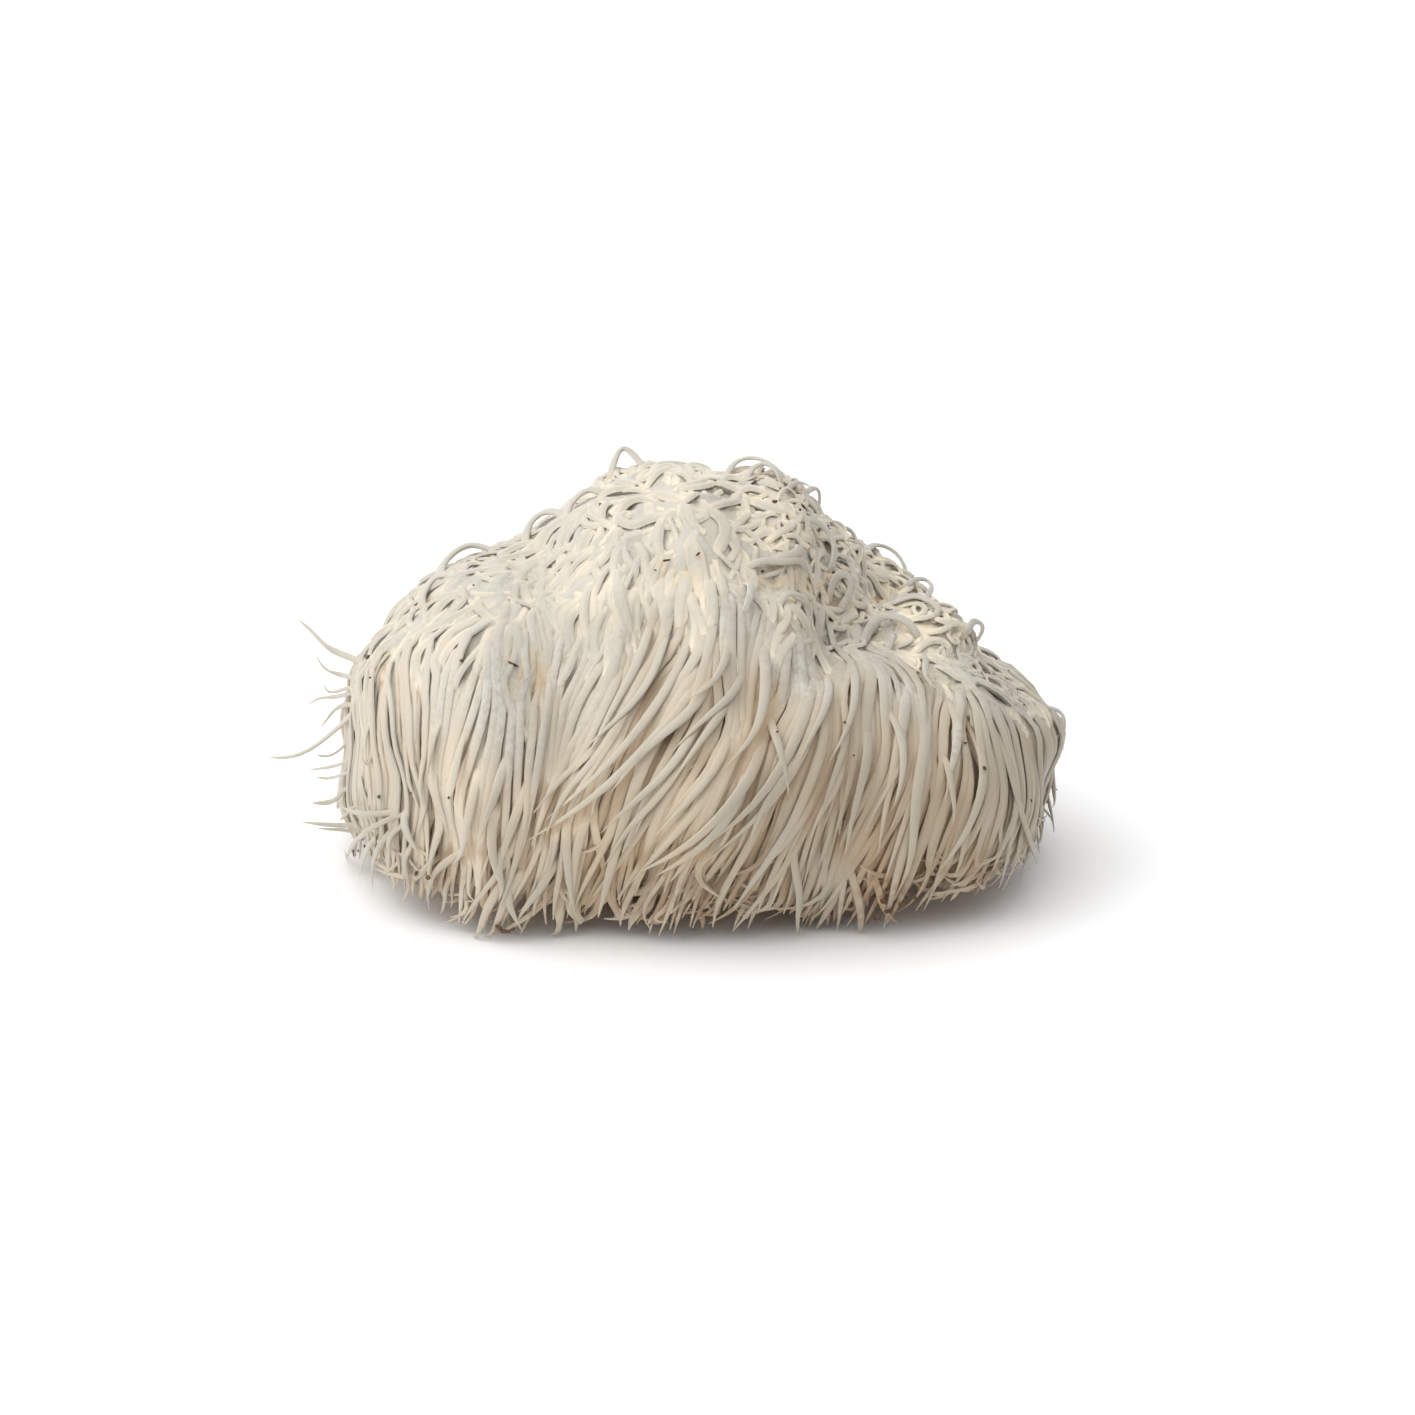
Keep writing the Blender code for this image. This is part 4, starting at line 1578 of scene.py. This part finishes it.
STRAYS = drawn(
    ((372, 668, 356, 659, 335, 650, 318, 632, 306, 622), 0.92, 1.5),
    ((366, 682, 348, 676, 334, 672, 327, 664, 323, 656), 0.68, 1.5),
    ((356, 686, 345, 692, 335, 693, 331, 684), 0.62, 1.5),
    ((356, 690, 345, 697, 326, 699, 315, 706), 0.68, 1.5),
    ((362, 705, 345, 708, 336, 718, 328, 728), 0.72, 1.5),
    ((366, 700, 348, 722, 325, 745, 300, 757, 277, 757), 1.1, 1.5),
    ((353, 735, 346, 750, 336, 756, 325, 755), 0.62, 1.5),
    ((352, 752, 346, 763, 334, 767, 318, 769), 0.62, 1.5),
    ((354, 768, 348, 774, 338, 777, 326, 776), 0.55, 1.5),
    ((355, 778, 349, 790, 341, 800, 323, 801), 0.78, 1.5),
    ((358, 802, 354, 812, 350, 818), 0.72, 1.5),
    ((375, 822, 352, 824, 330, 822, 310, 820), 0.85, 1.5),
    ((372, 830, 352, 828, 334, 827, 325, 826), 0.62, 1.5),
    ends=Ends.HANGING,
)

LOOPS = drawn(
    ((606, 478, 616, 461, 621, 443, 627, 446, 634, 458, 646, 470), 1.3, 0.4),
    ((724, 478, 734, 464, 748, 459, 762, 461, 776, 473, 790, 492), 1.0, 0.6),
    ((744, 480, 752, 470, 764, 466, 775, 472, 784, 484), 1.0, 0.6),
    ((782, 496, 792, 486, 802, 486, 812, 492), 0.8, 0.6, Ends.FREE),
    ((800, 505, 810, 491, 821, 489, 823, 500), 0.9, 0.6),
    ((858, 560, 872, 547, 888, 548, 903, 560, 914, 578), 1.0, 0.8),
    ((896, 595, 908, 582, 920, 579, 928, 586, 930, 598), 0.9, 0.8),
    ((958, 640, 963, 626, 974, 622, 984, 629, 986, 637), 1.1, 0.8),
    ((1044, 706, 1054, 708, 1061, 718, 1060, 732, 1052, 742), 0.9, 0.7),
    ((520, 548, 528, 527, 540, 515, 556, 510, 566, 516), 1.4, 0.1),
    ((438, 580, 442, 562, 456, 548, 474, 541, 492, 546), 1.6, -0.3),
    ((418, 610, 424, 590, 436, 574, 448, 570), 1.5, -0.2),
    ((560, 520, 572, 500, 590, 487, 604, 486), 1.5, -0.2),
    ((830, 600, 826, 588, 834, 577, 846, 580, 848, 596, 838, 612), 1.2, 1.4),
    ((776, 612, 780, 600, 792, 597, 806, 603, 812, 616), 1.0, 1.2),
    ((745, 570, 760, 566, 782, 568, 800, 562, 810, 566), 1.1, 1.2),
    ((748, 580, 750, 592, 747, 606, 742, 620), 1.1, 1.2),
    ((796, 520, 812, 524, 826, 538, 833, 556, 828, 575), 1.2, 1.2),
    ((800, 545, 797, 556, 785, 564, 766, 566), 1.3, 1.4),
    ((866, 640, 864, 628, 874, 620, 890, 622, 906, 630, 918, 636), 1.3, 1.4),
    ((884, 655, 882, 642, 888, 636, 886, 650), 0.9, 1.6),
    ((898, 600, 910, 598, 922, 604, 926, 616, 918, 626), 1.0, 1.2),
    ends=Ends.LOOPED,
)


@dataclass
class Wisps:
    """The spines that stand out one by one: combed over the others, flared, stray or looped."""

    coat: Coat
    sight: Sight
    steps: int = 16
    sides: int = 8
    rounds: int = 7
    fine: int = 80
    rooted: float = 0.35
    loop_depth: float = 0.6
    girth: float = 0.74
    tints: Range = (-0.35, 0.1)
    flatness: float = 0.56
    softness: float = 0.3
    root_depth: float = 4.4
    level: float = 0.0
    floor_gap: float = 0.5

    def path(self, wisp: Wisp) -> Array:
        """The smooth line through a wisp's places, rising from its root to its lift.

        The places are first drawn along the line of sight towards their middle one, by the share
        that level names, so that a wisp at the skyline doesn't run far back. Each stretch between
        two places is the cubic that passes through both with the slope of the places on either
        side of them. At the end the line is smoothed a number of rounds.

        Args:
            wisp: The wisp, whose dots may lie beside the coat.

        Returns:
            As many points as there are steps, evenly spread along the line.
        """
        places = self.sight.onto(self.coat, np.reshape(wisp.dots, (-1, 2)), free=True)
        back = self.sight.axes[2]
        behind = np.median(places @ back) - places @ back
        places = places + self.level * behind[:, None] * back
        ahead = np.concatenate([[2 * places[0] - places[1]], places, [2 * places[-1] - places[-2]]])
        t = np.linspace(0, len(places) - 1, self.fine)
        i = np.minimum(t.astype(int), len(places) - 2)
        u = (t - i)[:, None]
        a, b, c, d = (ahead[i + shift] for shift in range(4))
        line = b + 0.5 * u * (c - a + u * (2 * a - 5 * b + 4 * c - d + u * (3 * (b - c) + d - a)))
        along = np.concatenate([[0], np.cumsum(np.linalg.norm(np.diff(line, axis=0), axis=1))])
        even = np.linspace(0, along[-1], self.steps)
        line = np.stack([np.interp(even, along, line[:, axis]) for axis in range(3)], axis=-1)
        share = np.linspace(0, 1, self.steps)
        rise = wisp.lift * smooth_step(0, self.rooted, share) - self.root_depth * (1 - share) ** 4
        if wisp.ends is Ends.LOOPED:
            rise = wisp.lift - self.loop_depth * self.root_depth * np.abs(2 * share - 1) ** 5
        off = np.maximum(self.coat.lift(line), 0)
        line = self.coat.place(line, off + rise)
        for _ in range(self.rounds):
            line[1:-1] = 0.5 * line[1:-1] + 0.25 * (line[:-2] + line[2:])
        line[:, 2] = np.maximum(line[:, 2], self.floor_gap)
        return line

    def spines(self, wisps: tuple[Wisp, ...]) -> Spines:
        """The wisps as spines."""
        paths = np.stack([self.path(wisp) for wisp in wisps])
        faces = self.coat.normals(paths)
        steps = np.linspace(0, 1, self.steps)
        share = np.stack([np.interp(steps, *wisp.ends.value) for wisp in wisps])
        radii = self.girth * np.array([wisp.radius for wisp in wisps])[:, None] * share
        tints = np.random.default_rng(5).uniform(*self.tints, len(wisps))
        return Spines(paths, radii, faces, tints, self.sides, self.flatness, self.softness)

    def build(self, name: str, wisps: tuple[Wisp, ...], marks: Marks, finish: FleshFinish) -> None:
        """Builds one piece from a group of wisps."""
        dress(self.spines(wisps).surface(marks).piece(name), finish.material())


@dataclass(frozen=True)
class Crumb:
    """A dark crumb on the spines at a dot of the picture: its length, width and turn."""

    dot: Dot
    length: float = 0.7
    width: float = 0.55
    turn: float = 0.0


CRUMBS = tuple(
    Crumb(*row)
    for row in (
        ((754, 482), 2.0, 0.8, 60), ((774, 505), 1.2, 0.9, 20), ((803, 507), 1.4, 0.7, 70),
        ((799, 512), 0.8, 0.6), ((667, 559), 1.6, 0.5, 10), ((698, 556), 0.9, 0.5, 40),
        ((655, 569), 0.6, 0.4), ((472, 584), 0.6, 0.5), ((515, 665), 2.2, 0.6, -35),
        ((463, 661), 0.7, 0.6), ((762, 573), 0.9, 0.6), ((887, 622), 1.2, 0.5, 50),
        ((371, 658), 1.3, 1.0, 30), ((377, 679), 0.7, 0.5), ((383, 796), 0.8, 0.8),
        ((417, 792), 0.6, 0.6), ((455, 796), 0.6, 0.6), ((839, 723), 0.7, 0.7),
        ((774, 732), 0.5, 0.5), ((957, 743), 0.7, 0.7), ((981, 768), 0.9, 0.9),
        ((1029, 800), 0.6, 0.6), ((849, 755), 0.5, 0.4), ((1012, 690), 0.6, 0.5),
        ((1003, 672), 0.5, 0.5), ((1020, 705), 0.6, 0.5), ((992, 660), 0.5, 0.5),
        ((513, 924), 2.0, 0.9, 10), ((506, 921), 1.5, 0.9, -30), ((520, 922), 1.2, 0.7, 40),
        ((361, 851), 2.0, 1.2, 50), ((356, 856), 1.6, 1.0, -20), ((366, 846), 1.0, 0.7),
        ((880, 903), 1.7, 1.0, 20), ((892, 896), 1.5, 0.9, 60), ((900, 888), 1.2, 0.8, 30),
        ((868, 908), 1.4, 0.8, 10), ((874, 893), 1.2, 1.0, 80), ((908, 893), 1.4, 0.9, -30),
        ((690, 898), 1.2, 0.8, 40), ((440, 872), 1.0, 0.8, 30), ((427, 868), 1.2, 0.7, 60),
    )
)


@dataclass
class Crumbs:
    """The bits of bark and grit that cling to the spines."""

    coat: Coat
    sight: Sight
    crumbs: tuple[Crumb, ...] = CRUMBS
    around: int = 8
    rings: int = 5
    thickness: float = 0.5
    raised: float = 0.3
    shaken: float = 0.22
    dark: Colour = (0.07, 0.035, 0.018)
    light: Colour = (0.16, 0.085, 0.04)

    def surface(self, marks: Marks) -> Surface:
        """Rough little eggs that lie on the uppermost spines, all of them at once.

        Each point is the crumb's place, plus its half length along its turned way, half its width
        across that and half its thickness out of the coat, by the point's place on a unit ball
        whose radius is shaken.

        Args:
            marks: What tells how high the uppermost spines lie.

        Returns:
            The crumbs as one surface.
        """
        dots = np.array([crumb.dot for crumb in self.crumbs])
        places = self.sight.onto(self.coat, dots)
        places = self.coat.place(places, marks.cover.depth(places) + self.raised)
        face = self.coat.normals(places)
        side = unit(np.cross(face, UP))
        turn = np.radians([crumb.turn for crumb in self.crumbs])[:, None]
        long = np.cos(turn) * side + np.sin(turn) * np.cross(face, side)
        wide = np.cross(face, long)
        size = np.array([(c.length, c.width, self.thickness * c.width) for c in self.crumbs]) / 2

        polar = np.linspace(0, np.pi, self.rings + 2)[1:-1, None]
        ball = Coat.ways(2 * np.pi * np.arange(self.around)[None] / self.around, polar)
        ball = np.concatenate([ball.reshape(-1, 3), [[0, 0, 1], [0, 0, -1]]])
        chance = np.random.default_rng(8)
        shaken = 1 + self.shaken * chance.normal(size=(len(dots), len(ball), 1))
        local = ball * shaken * size[:, None]
        axes = np.stack([long, wide, face], axis=1)
        points = places[:, None] + local @ axes

        quads, triangles = wrapped(self.rings, self.around)
        first = (np.arange(len(dots)) * len(ball))[:, None, None]
        quads = (quads[None] + first).reshape(-1, 4)
        triangles = (triangles[None] + first).reshape(-1, 3)
        points = points.reshape(-1, 3)
        points[:, 2] = np.maximum(points[:, 2], 0)
        blank = np.zeros((len(points), 4))
        return Surface(points, quads, triangles, blank, blank)

    def material(self) -> bpy.types.Material:
        """Rough brown bark, darker in spots."""
        material, shader = shader_tree("bark_crumb")
        paint = Painter(material.node_tree)
        spots = paint.ranged(paint.noise(900), 0.35, 0.65)
        colour = paint.mixed(spots, self.dark, self.light)
        paint.link(colour, shader.inputs["Base Color"])
        rough = paint.ranged(paint.noise(2200), 0.3, 0.7, (0.7, 0.95))
        paint.link(rough, shader.inputs["Roughness"])
        relief = paint.bump(paint.noise(3000), 0.5, 0.2)
        paint.link(relief.outputs["Normal"], shader.inputs["Normal"])
        return material

    def build(self, marks: Marks) -> None:
        """Builds the crumbs as one piece."""
        dress(self.surface(marks).piece("crumbs"), self.material())


@dataclass
class Crown:
    """The tangle on top: short spines that fused with each other and with the flesh under them.

    A pair is a value, and how much a place's own share adds to it or takes off it.
    """

    coat: Coat
    combing: Combing
    brow: Brow
    fused_count: int = 1500
    free_count: int = 2500
    fused_tops: Range = (-2.2, -0.8)
    free_tops: Range = (-1.6, 0.3)
    steps: int = 12
    sides: int = 6
    flatness: float = 0.8
    softness: float = 0.8
    root_jitter: float = 2.0
    lowest_root: float = -3.0
    curly_span: Range = (-5.0, 25.0)
    curly_heights: Range = (-4.0, 4.0)
    near_heights: Range = (1.0, 16.0)
    lengths: Range = (8.0, 18.0)
    curly_shorter: float = 0.3
    near_longer: float = 5.0
    feet: Range = (-3.8, -2.6)
    calm_lower: float = 1.0
    hump: float = 1.08
    hump_power: float = 0.7
    level_facing: Range = (0.75, 0.97)
    swirl: Pair = (34.0, 60.0)
    swirl_width: float = 24.0
    stray_lean: Three = (14.0, 20.0, 40.0)
    bend: Pair = (95.0, 125.0)
    bend_middle: float = 0.3
    calm: Pair = (0.85, 0.6)
    wave: float = 9.0
    waves: float = 1.4
    radius: float = 0.84
    girth: float = -0.05
    girth_spread: float = 0.27
    thickness: Pair = (1.06, 0.3)
    tint_spread: float = 0.3
    bed_around: int = 220
    bed_rings: int = 109
    bed_share: float = 0.58
    bed_sunk: Three = (2.2, 1.2, 5.0)
    bed_heights: tuple[Range, Range] = ((-12.0, 4.0), (-26.0, -12.0))
    bed_lump: float = 0.4
    bed_lump_width: float = 8.0
    bed_top: float = -3.7
    floor_height: float = 22.0
    voxel: float = 0.42
    smoothing: float = 0.5
    smoothings: int = 3
    most_faces: int = 190_000
    tint: float = 0.15
    tint_width: float = 5.0
    felt: Pair = (0.6, 0.5)
    felt_width: float = 15.0
    felt_lighter: float = 0.3
    hollow_barer: float = 0.8
    own_normal: float = 0.3
    seed: int = 21
    strands: Spines = field(init=False, repr=False)
    loose: Spines = field(init=False, repr=False)
    # Painted light: crevices and deepest gaps are lighter than the ivory, and the cream, the sides of
    # strands and the crevices are lighter on the right, which lies in shade.
    finish: FleshFinish = FleshFinish(
        "crown_flesh",
        ivory=(0.505, 0.483, 0.42),
        cream=(0.63, 0.588, 0.493),
        felt=(0.60, 0.57, 0.492),
        painted_flank_shading=((0.525, 0.477, 0.392), (0.67, 0.605, 0.487)),
        painted_crevice_shading=((0.73, 0.647, 0.51), (0.96, 0.84, 0.635)),
        painted_deep_shading=(0.86, 0.68, 0.44),
        flank_depths=(0.05, 0.35),
        hollow_depths=(0.22, 0.6),
        tipped=0.0,
    )

    def __post_init__(self) -> None:
        """Grows the spines that fuse, and the free ones that loop over them."""
        self.strands = self.tangle(self.fused_count, self.fused_tops, self.seed)
        self.loose = self.tangle(self.free_count, self.free_tops, self.seed + 1)

    def tangle(self, count: int, top: Range, seed: int) -> Spines:
        """Short spines over the crown, each an arch whose feet are sunk in the flesh.

        The lift along a spine runs from its feet to its top as the sine of half a turn. The lean
        is a slow wave over the crown plus a steady turn, tighter where the crown curls.

        Args:
            count: About how many spines there are.
            top: The least and the greatest lift at the top of an arch.
            seed: Where the random draws start.

        Returns:
            The spines of the tangle.
        """
        chance = np.random.default_rng(seed)
        roots = scattered(self.coat, count * 2, self.root_jitter, chance)
        above = self.brow.above(roots)
        roots, above = roots[above > self.lowest_root], above[above > self.lowest_root]
        count = len(roots)
        t = np.linspace(0, 1, self.steps)
        rightward = smooth_step(*self.curly_span, roots[:, 0])
        curly = rightward * smooth_step(*self.curly_heights, above)
        near = 1 - smooth_step(*self.near_heights, above)
        lengths = chance.uniform(*self.lengths, count) * (1 - self.curly_shorter * curly)
        lengths = lengths + self.near_longer * near
        feet = chance.uniform(*self.feet, count)
        tops = chance.uniform(*top, count) - self.calm_lower * (1 - curly)
        hump = np.sin(np.pi * np.clip(t * self.hump, 0, 1)) ** self.hump_power
        lifts = feet[:, None] + (tops - feet)[:, None] * hump
        level = smooth_step(*self.level_facing, self.coat.normals(roots)[:, 2])
        swirl = self.swirl[0] + self.swirl[1] * level
        swirl = swirl * Waves(self.swirl_width, seed=9).at(roots)
        steady, tangled, flat = self.stray_lean
        swirl = swirl + chance.normal(size=count) * (steady + tangled * curly + flat * level)
        bend = chance.normal(size=count) * (self.bend[0] + self.bend[1] * curly)
        start = chance.uniform(0, 1, (count, 1))
        calm = 1 - self.calm[0] * near * (1 - self.calm[1] * rightward)
        leans = (swirl[:, None] + bend[:, None] * (t - self.bend_middle)) * calm[:, None]
        leans = leans + self.wave * np.sin(2 * np.pi * (t * self.waves + start))
        paths, faces = self.combing.grow(roots, lengths, lifts, leans)
        shape = np.interp(t, *Ends.TANGLED.value)
        girths = np.exp(chance.normal(size=(count, 1)) * self.girth_spread + self.girth)
        radii = self.radius * girths * shape
        radii = radii * (self.thickness[0] - self.thickness[1] * curly)[:, None]
        tints = chance.normal(size=count) * self.tint_spread
        return Spines(paths, radii, faces, tints, self.sides, self.flatness, self.softness)

    def bed(self) -> Surface:
        """The lumpy flesh under the tangle, closed below by a flat floor that stays hidden.

        Each point is the heart, plus its direction times the coat's distance less what the point
        is sunk by: an even depth, lumps, and two steps that go deeper under the curtains.

        Returns:
            The closed surface, without marks.
        """
        azimuth = 2 * np.pi * np.arange(self.bed_around) / self.bed_around
        polar = np.linspace(0, np.pi * self.bed_share, self.bed_rings + 1)[1:]
        ways = self.coat.ways(azimuth[None], polar[:, None])
        points = self.coat.heart + ways * self.coat.reach(ways)[..., None]
        above = self.brow.above(points)
        sunk = self.bed_sunk[0] + self.bed_lump * Waves(self.bed_lump_width, seed=14).at(points)
        for deeper, heights in zip(self.bed_sunk[1:], self.bed_heights):
            sunk = sunk + deeper * (1 - smooth_step(*heights, above))
        points = points - ways * sunk[..., None]
        points[..., 2] = np.maximum(points[..., 2], self.floor_height)
        top = self.coat.place(self.coat.heart + UP, self.bed_top)
        points = np.concatenate([points.reshape(-1, 3), [top, [0, 0, self.floor_height]]])
        blank = np.zeros((len(points), 4))
        return Surface(points, *wrapped(self.bed_rings, self.bed_around), blank, blank)

    @staticmethod
    def apply(piece: bpy.types.Object) -> None:
        """Works the piece's modifiers into its mesh."""
        depsgraph = bpy.context.evaluated_depsgraph_get()
        mesh = bpy.data.meshes.new_from_object(piece.evaluated_get(depsgraph))
        piece.modifiers.clear()
        piece.data = mesh

    def fused(self, collars: Spines, marks: Marks) -> bpy.types.Object:
        """Bed, tangle and collars made into one skin, softened at the joins and thinned.

        Args:
            collars: The roots of the curtains' uppermost spines.
            marks: What gives the colours their marks.

        Returns:
            The piece, whose marks come from where its points lie.
        """
        parts = [self.bed(), self.strands.surface(marks), collars.surface(marks)]
        starts = np.cumsum([0] + [len(part.points) for part in parts[:-1]])
        points = np.concatenate([part.points for part in parts])
        quads = np.concatenate([part.quads + start for part, start in zip(parts, starts)])
        triangles = np.concatenate([part.triangles + start for part, start in zip(parts, starts)])
        blank = np.zeros((len(points), 4))
        piece = Surface(points, quads, triangles, blank, blank).piece("crown_fused")
        skin = piece.modifiers.new("skin", "REMESH")
        skin.mode = "VOXEL"
        skin.voxel_size = self.voxel * MM
        soft = piece.modifiers.new("soft", "SMOOTH")
        soft.factor = self.smoothing
        soft.iterations = self.smoothings
        self.apply(piece)
        thin = piece.modifiers.new("thin", "DECIMATE")
        thin.ratio = min(1.0, self.most_faces / (2 * len(piece.data.polygons)))
        self.apply(piece)
        piece.data.name = "crown_fused"
        self.mark(piece.data, marks)
        return piece

    def mark(self, mesh: bpy.types.Mesh, marks: Marks) -> None:
        """Gives the fused skin its marks by where its points lie, and its softened normals.

        The whole skin is felted in clouds. Felt weakens the painted shading of its crevices, and it
        thins out where that shading is deep. The normals lean from the skin's own towards the way the
        coat faces.

        Args:
            mesh: The skin.
            marks: What gives the colours their marks.
        """
        points = np.empty(len(mesh.vertices) * 3, np.float32)
        mesh.vertices.foreach_get("co", points)
        points = points.reshape(-1, 3).astype(float) / MM
        tint = self.tint * Waves(self.tint_width, seed=6).at(points)
        growth = marks.growth(points, np.full(len(points), 0.5), tint)
        felt = self.felt[0] + self.felt[1] * Waves(self.felt_width, seed=31).at(points)
        patina = marks.patina(points)
        patina[:, 0] = np.clip(np.maximum(patina[:, 0], felt), 0, 1)
        growth[:, 2] = growth[:, 2] * (1 - self.felt_lighter * patina[:, 0])
        patina[:, 0] = patina[:, 0] * (1 - self.hollow_barer * growth[:, 2])
        own = np.empty(len(points) * 3, np.float32)
        mesh.vertex_normals.foreach_get("vector", own)
        faces = marks.coat.normals(points)
        leant = unit(self.own_normal * own.reshape(-1, 3) + (1 - self.own_normal) * faces)
        write_marks(mesh, growth, patina)
        mesh.shade_smooth()
        mesh.normals_split_custom_set_from_vertices(leant)

    def build(self, collars: Spines, marks: Marks) -> None:
        """Builds the fused crown, and the free spines that loop over its left and its right."""
        material = self.finish.material()
        dress(self.fused(collars, marks), material)
        left = self.loose.paths[:, 0, 0] < 0
        for name, keep in (("crown_tangle_left", left), ("crown_tangle_right", ~left)):
            dress(self.loose.chosen(keep).surface(marks).piece(name), material)


@dataclass(frozen=True)
class Studio:
    """A pale floor that sweeps up behind, a large soft light from the upper left, and the camera."""

    sight: Sight
    floor_colour: Colour = (0.98, 0.98, 0.985)
    floor_shade: float = 0.985
    floor_noise: float = 3.0
    floor_roughness: float = 0.65
    floor_depths: Range = (-3.0, 2.0)
    half_width: float = 4.0
    sweep: float = 1.2
    wall_top: float = 4.0
    world_colour: Colour = (1.0, 1.0, 1.0)
    world_strength: Range = (0.10, 1.47)
    world_span: Range = (-0.2, 1.0)
    bright_side: Place = (-0.42, -0.1, 0.902)
    key_place: Place = (-0.85, -0.08, 1.0)
    key_aim: Place = (0.0, 0.0, 0.03)
    key_power: float = 5.0
    key_size: float = 1.0
    back_place: Place = (0.0, 1.3, 1.8)
    back_aim: Place = (0.0, 3.2, 0.9)
    back_power: float = 20.0
    back_size: float = 1.5
    clip_end: float = 50.0

    def floor(self) -> None:
        """A sheet that lies flat and then curves up behind the mushroom, a profile carried across."""
        flat = np.linspace(*self.floor_depths, 12)
        turn = np.linspace(0, np.pi / 2, 16)[1:]
        bend = self.floor_depths[1] + self.sweep * np.sin(turn)
        y = np.concatenate([flat, bend, bend[-1:]])
        rise = self.sweep * (1 - np.cos(turn))
        z = np.concatenate([np.zeros_like(flat), rise, [self.wall_top]])
        x = np.array([-self.half_width, self.half_width])
        points = np.stack(np.broadcast_arrays(x[None], y[:, None], z[:, None]), axis=-1)
        row = np.arange(len(y) - 1)[:, None] * 2
        faces = row + np.array([[0, 1, 3, 2]])
        mesh = bpy.data.meshes.new("floor")
        mesh.from_pydata(points.reshape(-1, 3).tolist(), [], faces.tolist())
        mesh.shade_smooth()
        floor = bpy.data.objects.new("floor", mesh)
        bpy.context.scene.collection.objects.link(floor)
        material, shader = shader_tree("pale_floor")
        paint = Painter(material.node_tree)
        darker = tuple(self.floor_shade * part for part in self.floor_colour)
        colour = paint.mixed(paint.noise(self.floor_noise), self.floor_colour, darker)
        paint.link(colour, shader.inputs["Base Color"])
        shader.inputs["Roughness"].default_value = self.floor_roughness
        mesh.materials.append(material)

    def light(self) -> None:
        """Sets a white world that is brighter on one side, the key, and a light on the backdrop."""
        world = bpy.data.worlds.new("studio")
        world.use_nodes = True
        paint = Painter(world.node_tree)
        sky = world.node_tree.nodes["Background"]
        sky.inputs["Color"].default_value = (*self.world_colour, 1.0)
        where = paint.node("ShaderNodeTexCoord")
        side = paint.node("ShaderNodeVectorMath", operation="DOT_PRODUCT")
        side.inputs[1].default_value = self.bright_side
        paint.link(where.outputs["Generated"], side.inputs[0])
        strength = paint.ranged(side.outputs["Value"], *self.world_span, self.world_strength)
        paint.link(strength, sky.inputs["Strength"])
        bpy.context.scene.world = world
        self.lamp("key", self.key_place, self.key_aim, self.key_power, self.key_size)
        self.lamp("back", self.back_place, self.back_aim, self.back_power, self.back_size)

    @staticmethod
    def lamp(name: str, place: Place, aim: Place, power: float, size: float) -> None:
        """A square light at a place, turned to what it lights."""
        light = bpy.data.lights.new(name, "AREA")
        light.energy = power
        light.size = size
        lamp = bpy.data.objects.new(name, light)
        lamp.location = place
        way = Vector(aim) - Vector(place)
        lamp.rotation_euler = way.to_track_quat("-Z", "Y").to_euler()
        bpy.context.scene.collection.objects.link(lamp)

    def camera(self) -> None:
        """Puts the camera at the viewer's place, level with the line of sight."""
        lens = bpy.data.cameras.new("camera")
        lens.lens = self.sight.lens
        lens.sensor_width = self.sight.sensor
        lens.clip_end = self.clip_end
        camera = bpy.data.objects.new("camera", lens)
        camera.location = self.sight.eye * MM
        camera.rotation_euler = (np.radians(90 - self.sight.elevation), 0, 0)
        bpy.context.scene.collection.objects.link(camera)
        bpy.context.scene.camera = camera

    def build(self) -> None:
        """Sets the whole studio, with colours shown as they are."""
        self.camera()
        self.floor()
        self.light()
        bpy.context.scene.view_settings.view_transform = "Standard"


def main() -> None:
    """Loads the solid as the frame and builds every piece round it."""
    logging.basicConfig(level=logging.INFO, format="%(message)s")
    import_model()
    sight = Sight()
    coat = Coat()
    coat = replace(coat, folds=trace(sight, coat, FOLDS))
    combing = Combing(coat, sight, STROKES)
    brow = Brow(coat, sight)
    curtains = Curtains(coat, combing, brow)
    crown = Crown(coat, combing, brow)
    wisps = Wisps(coat, sight)
    cover = Cover(coat)
    for spines in (curtains.spines, crown.strands, crown.loose, wisps.spines(COMBED)):
        cover.lay(spines)
    cover.settle()
    marks = Marks(coat, sight, brow, cover)
    Studio(sight).build()
    InnerFlesh(coat, marks).build()
    curtains.build(marks, FleshFinish("spine_flesh").material())
    crown.build(curtains.collars(), marks)
    finish = FleshFinish("wisp_flesh", tip_start=0.6)
    wisps.build("combed_wisps", COMBED, marks, finish)
    supple = replace(wisps, rounds=2)
    supple.build("flared_tuft", TUFT, marks, replace(finish, name="tuft_flesh"))
    astray, looped = replace(supple, level=0.88), replace(wisps, level=0.6)
    astray.build("strays", STRAYS, marks, replace(finish, name="stray_flesh"))
    looped.build("loops", LOOPS, marks, replace(finish, name="loop_flesh", tipped=0.0))
    Crumbs(coat, sight).build(marks)


if __name__ == "__main__":
    main()
